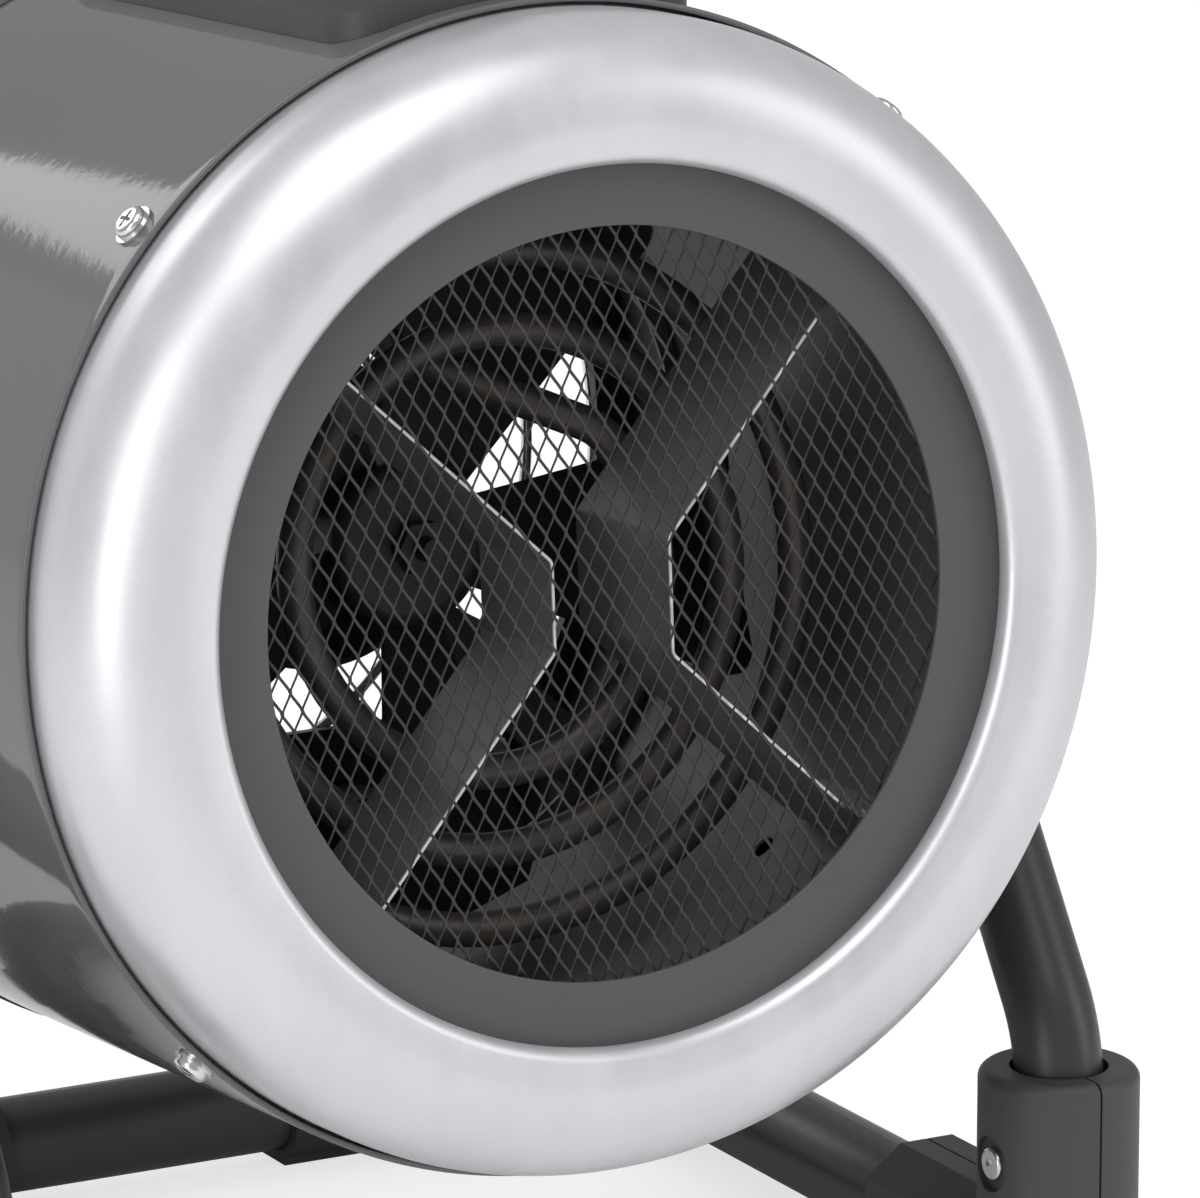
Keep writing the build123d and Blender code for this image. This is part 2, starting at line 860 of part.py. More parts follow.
def motor_body():
    """Fan motor with a mounting flange."""
    shoulder = motor_radius - motor_shoulder
    bore = shaft_radius + shaft_fit
    body = lathe(
        (bore, motor_front),
        (shoulder, motor_front),
        (motor_radius, motor_front + motor_shoulder),
        (motor_radius, motor_flange_front),
        (motor_flange_radius, motor_flange_front),
        (motor_flange_radius, baffle_rear),
        (motor_radius, baffle_rear),
        (motor_radius, motor_rear - motor_shoulder),
        (shoulder, motor_rear),
        (bore, motor_rear),
    )
    for angle in bracket_arm_angles:
        x, _, z = on_circle(flange_screw_circle, angle, 0)
        body -= rod_y(bracket_screw_radius + seat_fit, motor_flange_front - past, baffle_rear + past, x, z)
    return body


def motor_bracket():
    """Spider plate between the motor flange and the baffle."""
    ring_outer = motor_radius + casing_fit + bracket_ring_width
    plate = band(motor_radius + casing_fit, ring_outer, baffle_rear, bracket_rear)
    half = bracket_arm_width / 2
    arm_span = (motor_radius + bracket_ring_width / 2, bracket_reach)
    for angle in bracket_arm_angles:
        plate += around(angle) * block(arm_span, (baffle_rear, bracket_rear), (-half, half))
    for angle in bracket_arm_angles:
        for circle in (flange_screw_circle, baffle_screw_circle):
            x, _, z = on_circle(circle, angle, 0)
            plate -= rod_y(bracket_screw_radius + seat_fit, baffle_rear - past, bracket_rear + past, x, z)
    return plate


def bracket_screws():
    """Screws at both ends of the bracket's arms."""
    screws = []
    ends = (
        (flange_screw_circle, motor_flange_front - bracket_screw_ahead),
        (baffle_screw_circle, liner_rear - bracket_screw_ahead),
    )
    for angle in bracket_arm_angles:
        for circle, front in ends:
            x, _, z = on_circle(circle, angle, 0)
            shank = rod_y(bracket_screw_radius, front, bracket_rear, x, z)
            head = rod_y(bracket_screw_head, bracket_rear, bracket_rear + bracket_screw_head_height, x, z)
            head = fillet(head.edges().group_by(Axis.Y)[-1], bracket_screw_rounding)
            screws.append(shank + head)
    return screws


def rear_housing():
    """Moulded rear cap with the air inlet and the control area."""
    spigot = casing_inner - casing_fit
    spigot_front = casing_rear - housing_spigot
    edge_centre = (housing_radius - housing_edge, housing_rear - housing_edge)
    points = [
        (0, housing_rear),
        (0, housing_inside),
        (housing_inner_radius, housing_inside),
        (housing_inner_radius, spigot_front),
        (spigot, spigot_front),
        (spigot, casing_rear),
        (housing_radius, casing_rear),
        (housing_radius, edge_centre[1]),
    ]
    edges = list(Polyline(*points).edges())
    edges.append(CenterArc(edge_centre, housing_edge, 0, 90))
    edges.append(Line((edge_centre[0], housing_rear), (0, housing_rear)))
    shell = revolve(make_face(edges), Axis.Y)
    span = (housing_inside - past, housing_rear + past)
    inlet_z = (inlet_floor, inlet_radius + past)
    shell -= rod_y(inlet_radius, *span) & block((-inlet_radius, inlet_radius), span, inlet_z)
    for x in (-knob_spacing / 2, knob_spacing / 2):
        shell -= rod_y(knob_shaft_radius + knob_shaft_clearance, *span, x, -panel_height_below)
    shell -= rod_y(lamp_radius + seat_fit, *span, 0, lamp_z)
    shell -= rod_y(button_radius + moving_gap, *span, 0, button_z)
    return shell - rod_y(gland_neck_radius + seat_fit, *span, gland_x, gland_z)


def rear_guard():
    """Finger guard over the air inlet: wire rings ended on a bar above the controls, flat ribs and tabs."""
    seat = (housing_rear, housing_rear + guard_bar_depth)
    wire_y = housing_rear + guard_bar_depth / 2
    half = sqrt(guard_radius**2 - guard_floor**2) + guard_bar_end
    bar_z = (guard_floor - guard_bar_height / 2, guard_floor + guard_bar_height / 2)
    guard = block((-half, half), seat, bar_z)
    for index in range(1, guard_rings + 1):
        radius = guard_radius * index / guard_rings
        dip = 90.0
        if radius > -bar_z[1]:
            dip = degrees(atan2(-guard_floor, sqrt(radius**2 - guard_floor**2)))
        ring = Torus(radius, guard_wire, major_angle=180 + 2 * dip)
        guard += around(-dip) * Pos(0, wire_y, 0) * Rot(90, 0, 0) * ring
    inner_end = guard_radius / guard_rings - guard_wire / 2
    rib_y = (wire_y + guard_rib_inset, wire_y + guard_rib_inset + guard_rib_depth)
    rib_z = (-guard_rib_width / 2, guard_rib_width / 2)
    for index in range(guard_ribs):
        angle = guard_first_rib + index * 360 / guard_ribs
        drop = -sin(radians(angle))
        outer_end = min(guard_radius, -guard_floor / drop) if drop > 0 else guard_radius
        guard += around(angle) * block((inner_end, outer_end + guard_wire / 2), rib_y, rib_z)
    tab_x = (guard_radius - guard_tab_inside, guard_radius + guard_tab_beyond)
    for angle in guard_tab_angles:
        guard += around(angle) * block(tab_x, seat, (-guard_tab_width / 2, guard_tab_width / 2))
    return guard


def control_panel():
    """Flat plate behind the knobs."""
    plate = extrude(RectangleRounded(panel_width, panel_height, panel_corner), panel_thickness)
    plate = Pos(0, panel_rear, -panel_height_below) * Rot(90, 0, 0) * plate
    span = (housing_rear - past, panel_rear + past)
    for x in (-knob_spacing / 2, knob_spacing / 2):
        plate -= rod_y(knob_shaft_radius + knob_shaft_clearance, *span, x, -panel_height_below)
    plate -= rod_y(lamp_radius + seat_fit, *span, 0, lamp_z)
    plate -= rod_y(button_radius + moving_gap, *span, 0, button_z)
    return plate


def control_knob(x):
    """Round skirt, raised grip bar and the shaft that enters the control behind the panel."""
    z = -panel_height_below
    start = panel_rear + moving_gap
    skirt_rear_face = start + knob_skirt_height
    top = start + knob_height
    knob = rod_y(knob_radius + knob_skirt_extra, start, skirt_rear_face, x, z)
    body = rod_y(knob_radius, skirt_rear_face, top, x, z)
    half = knob_grip_width / 2
    reach = knob_radius + past
    for side in (-1, 1):
        limits = sorted((x + side * half, x + side * reach))
        body -= block(limits, (skirt_rear_face + knob_skirt_extra, top + past), (z - reach, z + reach))
    shaft = rod_y(knob_shaft_radius, switch_front + switch_depth / 2, skirt_rear_face, x, z)
    return knob + body + shaft


def switch_body(x):
    """Control behind the panel, with a bore for the knob's shaft."""
    z = -panel_height_below
    half_x = switch_width / 2
    half_z = switch_height / 2
    body = block((x - half_x, x + half_x), (switch_front, housing_inside), (z - half_z, z + half_z))
    bore_front = switch_front + switch_depth / 2 - moving_gap
    return body - rod_y(knob_shaft_radius + shaft_fit, bore_front, housing_inside + past, x, z)


def pilot_lamp():
    """Domed lamp lens."""
    start = housing_inside - lamp_inside
    lens = rod_y(lamp_radius, start, panel_rear + lamp_dome, 0, lamp_z)
    lens = fillet(lens.edges().group_by(Axis.Y)[-1], lamp_dome * 0.9)
    return lens + rod_y(lamp_radius + lamp_flange, start, housing_inside, 0, lamp_z)


def reset_button():
    """Button that resets the thermal cut-out."""
    cap_front = housing_rear - button_sunk
    button = rod_y(button_radius, cap_front, panel_rear + button_out, 0, button_z)
    button = fillet(button.edges().group_by(Axis.Y)[-1], button_rounding)
    return button + rod_y(button_stem, cap_front - button_stem_length, cap_front + button_sunk, 0, button_z)


def reset_switch():
    """Contact block that the button's stem enters."""
    rear = housing_rear - button_sunk - button_travel - moving_gap
    front = rear - button_switch_depth
    half = button_switch_width / 2
    top = button_z + half - button_switch_lower
    body = block((-half, half), (front, rear), (button_z - half, top))
    post_z = (button_z - half, button_z - half + button_switch_post)
    body += block((-half, half), (front, housing_inside), post_z)
    bore_front = rear - button_stem_length - moving_gap
    return body - rod_y(button_stem + shaft_fit, bore_front, rear + past, 0, button_z)


def terminal_block():
    """Screw terminals where the supply lead is joined."""
    half = block_width / 2
    z_range = (block_z - block_height / 2, block_z + block_height / 2)
    front = housing_inside - block_depth
    body = block((block_x - half, block_x + half), (front, housing_inside), z_range)
    for index in (-1, 0, 1):
        x = block_x + index * block_hole_spacing
        body -= rod_y(block_hole_radius, front - past, front + block_hole_depth, x, block_z)
    return body


def cord_gland():
    """Inlet for the supply lead."""
    rear = housing_rear + gland_length
    gland = lathe(
        (gland_bore, housing_inside - gland_nut_thickness),
        (gland_neck_radius, housing_inside - gland_nut_thickness),
        (gland_neck_radius, housing_rear),
        (gland_radius, housing_rear),
        (gland_radius, rear - gland_cone_length),
        (gland_radius - gland_cone_step, rear),
        (gland_bore, rear),
    )
    return Pos(gland_x, 0, gland_z) * gland


def gland_nut():
    """Locknut of the gland inside the housing."""
    nut = extrude(RegularPolygon(gland_radius, 6, major_radius=False), gland_nut_thickness)
    nut = Pos(gland_x, housing_inside, gland_z) * Rot(90, 0, 0) * nut
    front = housing_inside - gland_nut_thickness
    return nut - rod_y(gland_neck_radius + seat_fit, front - past, housing_rear, gland_x, gland_z)


def thermal_cutout():
    """Bimetal cut-out on the outside of the liner."""
    top = liner_radius + cutout_height
    body = rod_x(cutout_radius, liner_radius - past, top, cutout_depth)
    body -= band(0, liner_radius, cutout_depth - cutout_radius * 2, cutout_depth + cutout_radius * 2)
    for side in (-1, 1):
        middle = cutout_depth + side * cutout_tab_offset
        body += block(
            (top, top + cutout_tab_length),
            (middle - cutout_tab_thickness / 2, middle + cutout_tab_thickness / 2),
            (-cutout_tab_width / 2, cutout_tab_width / 2),
        )
    return around(cutout_angle) * body


def handle_outline(width, front, rear, corner):
    """Upright prism over a rounded rectangle in plan."""
    plan = RectangleRounded(width, rear - front, corner)
    return Pos(0, (front + rear) / 2, 0) * extrude(plan, casing_radius * 2)


def handle_base():
    """Moulded saddle on the casing with a raised plateau for the grip."""
    saddle = handle_outline(handle_width, handle_front, handle_rear, handle_corner)
    outer = casing_radius + handle_skin
    saddle &= rod_y(outer, handle_front - past, handle_rear + past)
    plateau = handle_outline(
        plateau_width,
        handle_front + plateau_inset,
        handle_rear - plateau_rear_inset,
        plateau_corner,
    )
    plateau &= block((-handle_width, handle_width), (0, handle_rear * 2), (0, plateau_top))
    plateau = fillet(plateau.edges().group_by(Axis.Z)[-1], plateau_rounding)
    base = saddle + plateau
    base -= rod_y(casing_radius + seat_fit, handle_front - past, handle_rear + past)
    for depth in handle_screw_depths:
        for x in (-handle_screw_x, handle_screw_x):
            base -= rod_z(handle_screw_radius + seat_fit, liner_radius, plateau_top + past, x, depth)
            base -= rod_z(handle_screw_recess, screw_floor, plateau_top + past, x, depth)
    return base


def handle_grip():
    """Arched hand grip from front to back."""
    front = handle_front + plateau_inset + grip_leg_inset
    rear = handle_rear - plateau_rear_inset - grip_leg_inset
    top = plateau_top + grip_rise
    path = FilletPolyline(
        (0, front, plateau_top),
        (0, front, top),
        (0, rear, top),
        (0, rear, plateau_top),
        radius=grip_bend,
    )
    section = Plane(origin=path @ 0, x_dir=(1, 0, 0), z_dir=(0, 0, 1)) * RectangleRounded(
        grip_width, grip_thickness, grip_corner
    )
    return sweep(section, path=path)


def handle_screws():
    """Screws that hold the handle base to the casing."""
    screws = []
    for depth in handle_screw_depths:
        for x in (-handle_screw_x, handle_screw_x):
            top = screw_floor + handle_screw_head_height
            shank = rod_z(handle_screw_radius, casing_inner - handle_screw_inside, screw_floor, x, depth)
            head = rod_z(handle_screw_head, screw_floor, top, x, depth)
            head = fillet(head.edges().group_by(Axis.Z)[-1], handle_screw_rounding)
            recess = Pos(x, depth, 0) * Rot(0, -90, 0) * cross_recess(top)
            screws.append(shank + head - recess)
    return screws


def pivot_boss():
    """Spacer between the casing and the upright's eye, on the right side."""
    boss = rod_x(boss_radius, nut_plate_outer, boss_face, pivot_depth)
    boss -= rod_y(casing_radius + seat_fit, pivot_depth - boss_radius * 2, pivot_depth + boss_radius * 2)
    boss -= rod_x(bolt_radius + shaft_fit, nut_plate_outer - past, boss_face + past, pivot_depth)
    return fillet(boss.edges().group_by(Axis.X)[-1].sort_by(SortBy.LENGTH)[-1], boss_rounding)


def nut_plate():
    """Threaded plate inside the casing, on the right side."""
    plate = rod_x(nut_plate_radius, nut_plate_inner, nut_plate_outer, pivot_depth)
    return plate - rod_x(bolt_radius + shaft_fit, nut_plate_inner - past, nut_plate_outer + past, pivot_depth)


def tilt_knob():
    """Lobed clamping knob with its bolt, on the right side."""
    start = stand_half_width + eye_thickness / 2 + moving_gap
    grip_start = start + tilt_knob_collar_length
    end = start + tilt_knob_length
    collar = rod_x(tilt_knob_collar, start, grip_start, pivot_depth)
    grip = rod_x(tilt_knob_radius, grip_start, end, pivot_depth)
    for index in range(tilt_knob_lobes):
        angle = radians(index * 360 / tilt_knob_lobes)
        reach = tilt_knob_radius + tilt_knob_scallop_out
        grip -= rod_x(
            tilt_knob_scallop,
            grip_start - past,
            end + past,
            pivot_depth + reach * cos(angle),
            reach * sin(angle),
        )
    grip = fillet(grip.edges().group_by(Axis.X)[-1], tilt_knob_rounding)
    bolt = rod_x(bolt_radius, nut_plate_inner - bolt_inside_plate, grip_start, pivot_depth)
    return collar + grip + bolt


def floor_tube():
    """Round tube bent to a U, open at the front."""
    front = collar_y - tube_end_ahead
    path = FilletPolyline(
        (-stand_half_width, front, floor_tube_height),
        (-stand_half_width, rear_tube_behind, floor_tube_height),
        (stand_half_width, rear_tube_behind, floor_tube_height),
        (stand_half_width, front, floor_tube_height),
        radius=floor_tube_bend,
    )
    start = Plane(origin=path @ 0, z_dir=path % 0)
    outer = sweep(start * Circle(floor_tube_radius), path=path)
    inner = sweep(start * Circle(floor_tube_radius - floor_tube_wall), path=path)
    tube = outer - inner
    y = collar_y + sleeve_screw_behind
    edge = stand_half_width - floor_tube_radius
    for side in (-1, 1):
        span = (side * (edge - past), side * (edge + fitting_screw_hole_depth))
        tube -= rod_x(fitting_screw_radius + seat_fit, *span, y, floor_tube_height)
    return tube


def upright():
    """Bent tube with its upper end pressed flat into an eye, on the right side."""
    bottom = floor_tube_height + floor_tube_radius + seat_fit + upright_seat
    lean = radians(upright_lean)
    run = Vector(0, sin(lean), cos(lean))
    corner_z = pivot_height - collar_ahead / tan(lean)
    pivot = Vector(stand_half_width, 0, pivot_height)
    corner = Vector(stand_half_width, collar_y, corner_z)
    round_end = pivot - run * flatten_start
    flat_start = pivot - run * flatten_end
    path = FilletPolyline(
        (stand_half_width, collar_y, bottom),
        corner,
        round_end,
        radius=upright_bend,
    )
    base = Plane(origin=path @ 0, x_dir=(1, 0, 0), z_dir=(0, 0, 1))
    tube = sweep(base * Circle(upright_radius), path=path)
    tube -= sweep(base * Circle(upright_radius - upright_wall), path=path)
    lower = Plane(origin=round_end, x_dir=(1, 0, 0), z_dir=run)
    upper = Plane(origin=flat_start, x_dir=(1, 0, 0), z_dir=run)
    flat_section = Ellipse(eye_thickness / 2 + pressed_swell, eye_radius + pressed_swell)
    tube += loft([lower * Circle(upright_radius), upper * flat_section])
    leaf_x = (stand_half_width - eye_thickness / 2, stand_half_width + eye_thickness / 2)
    leaf = block(leaf_x, (-eye_radius, eye_radius), (-flatten_end, 0))
    tube += Pos(0, 0, pivot_height) * (rod_x(eye_radius, *leaf_x) + Rot(-upright_lean, 0, 0) * leaf)
    bolt_span = (stand_half_width - eye_radius, stand_half_width + eye_radius)
    tube -= rod_x(bolt_radius + shaft_fit, *bolt_span, 0, pivot_height)
    edge = stand_half_width - upright_radius
    screw_span = (edge - past, edge + fitting_screw_hole_depth)
    screw_z = floor_tube_height + fitting_screw_height
    return tube - rod_x(fitting_screw_radius + seat_fit, *screw_span, collar_y, screw_z)


def corner_fitting():
    """Moulded elbow that joins an upright to the floor tube, on the right side, in two halves."""
    axis_z = floor_tube_height
    top = axis_z + collar_height
    sphere_z = axis_z - sleeve_bottom + collar_radius
    collar = rod_z(collar_radius, sphere_z, top, stand_half_width, collar_y)
    collar = fillet(collar.edges().group_by(Axis.Z)[-1], collar_rim)
    body = collar + Pos(stand_half_width, collar_y, sphere_z) * Sphere(collar_radius)
    lower_corner = sleeve_bottom - sleeve_bottom_chamfer
    inner_flat = sleeve_half - sleeve_bottom_chamfer
    right_side = [
        (inner_flat, -sleeve_bottom),
        (sleeve_half, -lower_corner),
        (sleeve_half, sleeve_shoulder),
        (sleeve_flat, sleeve_top),
    ]
    left_side = [(-x, z) for x, z in reversed(right_side)]
    profile = make_face(Polyline(*right_side, *left_side, close=True).edges())
    prism = extrude(profile, sleeve_length, dir=(0, 0, 1))
    prism = Pos(stand_half_width, collar_y + sleeve_length, axis_z) * Rot(90, 0, 0) * prism
    prism = chamfer(prism.faces().sort_by(Axis.Y)[-1].edges(), sleeve_taper, sleeve_taper_length)
    body += prism
    bore_floor = axis_z + floor_tube_radius + seat_fit + upright_seat
    mouth_floor = top - collar_mouth_depth
    body -= rod_z(upright_radius + seat_fit, bore_floor, top + past, stand_half_width, collar_y)
    body -= rod_z(upright_radius + collar_mouth_gap, mouth_floor, top + past, stand_half_width, collar_y)
    tube_span = (collar_y - tube_end_ahead - seat_fit, collar_y + sleeve_length + past)
    body -= rod_y(floor_tube_radius + seat_fit, *tube_span, stand_half_width, axis_z)
    for y, z, face_x in fitting_screw_places():
        body -= rod_x(fitting_screw_radius + seat_fit, face_x, stand_half_width - upright_radius + past, y, z)
        body -= rod_x(fitting_screw_recess, stand_half_width - collar_radius - past, face_x, y, z)
    pad_y = collar_y + pad_behind_collar
    body -= block(
        (stand_half_width - pad_width / 2 - seat_fit, stand_half_width + pad_width / 2 + seat_fit),
        (pad_y - pad_length / 2 - seat_fit, pad_y + pad_length / 2 + seat_fit),
        (0, axis_z - sleeve_bottom + pad_recess),
    )
    reach = sleeve_length + collar_radius
    halves = []
    for near, far in ((-fitting_seam / 2, -reach), (fitting_seam / 2, reach)):
        x_span = (stand_half_width + min(near, far), stand_half_width + max(near, far))
        halves.append(body & block(x_span, (collar_y - reach, collar_y + reach), (0, top + past)))
    return halves


def fitting_screw_places():
    """Depth, height and recess floor of the two screws in a fitting's inner half."""
    upper = stand_half_width - collar_radius + fitting_recess_floor
    lower = stand_half_width - sleeve_half + fitting_recess_floor
    return (
        (collar_y, floor_tube_height + fitting_screw_height, upper),
        (collar_y + sleeve_screw_behind, floor_tube_height, lower),
    )


def fitting_screws():
    """Star-drive screws of both fittings."""
    screws = []
    for y, z, face_x in fitting_screw_places():
        top = face_x - fitting_screw_head_height
        shank = rod_x(fitting_screw_radius, face_x, top + fitting_screw_length, y, z)
        head = rod_x(fitting_screw_head, top, face_x, y, z)
        head = fillet(head.edges().group_by(Axis.X)[0], fitting_screw_rounding)
        driver = extrude(RegularPolygon(fitting_driver_radius, 6), fitting_driver_depth + past)
        screw = shank + head - Pos(top - past, y, z) * Rot(0, 90, 0) * driver
        screws.append(screw)
        screws.append(mirror(screw, about=Plane.YZ))
    return screws


def rear_clip_feet():
    """Rubber feet clipped round the rear cross tube."""
    feet = []
    outer = floor_tube_radius + clip_foot_wall
    half = clip_foot_width / 2
    for side in (-1, 1):
        middle = side * clip_foot_offset
        limits = (middle - clip_foot_length / 2, middle + clip_foot_length / 2)
        foot = rod_x(outer, *limits, rear_tube_behind, floor_tube_height)
        foot += block(limits, (rear_tube_behind - half, rear_tube_behind + half), (0, floor_tube_height))
        bore_span = (middle - clip_foot_length, middle + clip_foot_length)
        tube_place = (rear_tube_behind, floor_tube_height)
        feet.append(foot - rod_x(floor_tube_radius + seat_fit, *bore_span, *tube_place))
    return feet


def front_pads():
    """Rubber pads let into the undersides of the corner fittings."""
    pads = []
    middle = collar_y + pad_behind_collar
    top = floor_tube_height - sleeve_bottom + pad_recess
    for side in (-1, 1):
        x = side * stand_half_width
        pads.append(
            block(
                (x - pad_width / 2, x + pad_width / 2),
                (middle - pad_length / 2, middle + pad_length / 2),
                (0, top),
            )
        )
    return pads


def add_head(name, shape):
    """Keep a head piece, placed on the pivot at its rest tilt."""
    solids = shape if isinstance(shape, list) else [shape]
    pieces[name] = [head_place * solid for solid in solids]


def add_head_pair(name, shape):
    """Keep a head piece of the right side and its mirror image."""
    add_head(name + "_right", shape)
    add_head(name + "_left", mirror(shape, about=Plane.YZ))


def add_stand(name, shape):
    """Keep a stand piece."""
    pieces[name] = shape if isinstance(shape, list) else [shape]


def add_stand_pair(name, shape):
    """Keep a stand piece of the right side and its mirror image."""
    add_stand(name + "_right", shape)
    add_stand(name + "_left", mirror(shape, about=Plane.YZ))


def build_head():
    """All pieces that tilt."""
    add_head("outer_casing", outer_casing())
    add_head("casing_screws", casing_screws())
    add_head("front_ring", front_ring())
    add_head("grille_bezel", grille_bezel())
    add_head("front_mesh", front_mesh())
    add_head("mesh_retainer", mesh_retainer())
    add_head("inner_liner", inner_liner())
    add_head("rear_baffle", rear_baffle())
    add_head("element_bracket_left", element_bracket(left_line(), left_strip_front))
    add_head("element_bracket_right", element_bracket(right_line(), right_strip_front))
    add_head("bracket_rivets", bracket_rivets())
    add_head("heating_element", heating_element())
    add_head("element_bushes", element_bushes())
    add_head("element_studs", element_studs())
    add_head("fan_wheel", fan_wheel())
    add_head("fan_nut", fan_nut())
    add_head("motor_shaft", motor_shaft())
    add_head("motor_body", motor_body())
    add_head("motor_bracket", motor_bracket())
    add_head("motor_bracket_screws", bracket_screws())
    add_head("rear_housing", rear_housing())
    add_head("rear_guard", rear_guard())
    add_head("control_panel", control_panel())
    add_head("thermostat_knob", control_knob(-knob_spacing / 2))
    add_head("thermostat_body", switch_body(-knob_spacing / 2))
    add_head("mode_knob", control_knob(knob_spacing / 2))
    add_head("mode_switch_body", switch_body(knob_spacing / 2))
    add_head("pilot_lamp", pilot_lamp())
    add_head("reset_button", reset_button())
    add_head("reset_switch", reset_switch())
    add_head("terminal_block", terminal_block())
    add_head("cord_gland", cord_gland())
    add_head("gland_nut", gland_nut())
    add_head("thermal_cutout", thermal_cutout())
    add_head("handle_base", handle_base())
    add_head("handle_grip", handle_grip())
    add_head("handle_screws", handle_screws())
    add_head_pair("pivot_boss", pivot_boss())
    add_head_pair("pivot_nut_plate", nut_plate())
    add_head_pair("tilt_knob", tilt_knob())


def build_stand():
    """All pieces that stay on the floor."""
    add_stand("floor_tube", floor_tube())
    add_stand_pair("upright", upright())
    inner_half, outer_half = corner_fitting()
    add_stand_pair("fitting_inner", inner_half)
    add_stand_pair("fitting_outer", outer_half)
    add_stand("fitting_screws", fitting_screws())
    add_stand("rear_clip_feet", rear_clip_feet())
    add_stand("front_pads", front_pads())


def whole_box():
    """Corners of the box round every piece."""
    boxes = [solid.bounding_box() for solids in pieces.values() for solid in solids]
    low = [min(getattr(box.min, axis) for box in boxes) for axis in "XYZ"]
    high = [max(getattr(box.max, axis) for box in boxes) for axis in "XYZ"]
    return low, high


def to_origin():
    """Move that puts the origin at the middle of the box's underside."""
    low, high = whole_box()
    return Pos(-(low[0] + high[0]) / 2, -(low[1] + high[1]) / 2, -low[2])


def head_point(x, y, z, shift):
    """A point of the head in the part's own frame."""
    return (shift * head_place * Pos(x, y, z)).position


def main():
    build_head()
    build_stand()
    shift = to_origin()
    os.makedirs("parts", exist_ok=True)
    for name, solids in pieces.items():
        placed = [shift * solid for solid in solids]
        shape = placed[0] if len(placed) == 1 else Compound(children=placed)
        export_step(shape, f"parts/{name}.step")
    low, high = whole_box()
    print("size", [round(high[i] - low[i], 2) for i in range(3)], "nodes", len(pieces))
    print("shift", shift.position)
    spots = {
        "head_tilt": (0, pivot_depth, 0),
        "fan_spin": (0, fan_depth, 0),
        "thermostat_knob": (-knob_spacing / 2, panel_rear, -panel_height_below),
        "mode_knob": (knob_spacing / 2, panel_rear, -panel_height_below),
        "reset_button": (0, panel_rear, button_z),
        "tilt_knob_right": (stand_half_width, pivot_depth, 0),
        "tilt_knob_left": (-stand_half_width, pivot_depth, 0),
    }
    for name, spot in spots.items():
        print("joint", name, head_point(*spot, shift))


main()
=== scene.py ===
import json
import math

import bmesh
import bpy
import numpy as np
from mathutils import Matrix, Vector


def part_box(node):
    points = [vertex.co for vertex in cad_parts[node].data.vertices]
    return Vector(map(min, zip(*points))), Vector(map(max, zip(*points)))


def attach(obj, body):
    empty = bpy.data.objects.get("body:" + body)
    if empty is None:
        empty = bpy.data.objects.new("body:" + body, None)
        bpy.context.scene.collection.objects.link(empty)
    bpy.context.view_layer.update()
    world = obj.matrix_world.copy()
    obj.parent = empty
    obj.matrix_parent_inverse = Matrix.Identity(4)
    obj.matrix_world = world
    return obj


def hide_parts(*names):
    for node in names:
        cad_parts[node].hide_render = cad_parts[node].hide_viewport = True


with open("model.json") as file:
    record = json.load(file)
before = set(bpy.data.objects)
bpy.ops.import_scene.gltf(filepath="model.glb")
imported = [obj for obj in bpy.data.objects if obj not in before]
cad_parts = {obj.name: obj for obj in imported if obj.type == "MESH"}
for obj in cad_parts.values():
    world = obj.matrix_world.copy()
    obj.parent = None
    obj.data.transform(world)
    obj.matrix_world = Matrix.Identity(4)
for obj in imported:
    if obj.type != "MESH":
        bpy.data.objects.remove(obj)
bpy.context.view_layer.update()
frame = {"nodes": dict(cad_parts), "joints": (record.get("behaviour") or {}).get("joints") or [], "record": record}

bl_info = {
    "name": "Garage heater dressing",
    "version": (1, 0, 0),
    "blender": (4, 5, 0),
    "location": "View3D > Sidebar > Heater",
    "description": "Builds the visible surfaces of a round electric garage heater on its stand",
    "category": "Object",
}

MM = 0.001
NOISE_MIDDLE = 0.5
# Places of the colour sockets on a Mix node, whose other sockets are for numbers and vectors
MIX_FIRST_COLOUR = 6
MIX_SECOND_COLOUR = 7
MIX_COLOUR_OUT = 2

joints = {joint["name"]: joint for joint in frame["joints"]}
record_slots = {item["node"]: item["material_slot"] for item in frame["record"]["subparts"]}
pivot = np.array(joints["head_tilt"]["pos_m"])
fan_axis = joints["fan_spin"]["axis"]
rest_tilt = math.atan2(-fan_axis[2], fan_axis[1])


def mm(name, size, text):
    """A length property whose default is given in millimetres."""
    return bpy.props.FloatProperty(
        name=name, description=text, default=size * MM, subtype="DISTANCE", unit="LENGTH", precision=5
    )


def degrees(name, size, text):
    """An angle property whose default is given in degrees."""
    return bpy.props.FloatProperty(
        name=name, description=text, default=math.radians(size), subtype="ANGLE", unit="ROTATION"
    )


def side_reach(node):
    """How far a node reaches to the side at rest, in millimetres, to a tenth."""
    _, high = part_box(node)
    return round(high[0] / MM, 1)


def tint(name, shade, text):
    """A colour property."""
    return bpy.props.FloatVectorProperty(
        name=name, description=text, default=shade, size=3, subtype="COLOR", min=0.0, max=1.0
    )


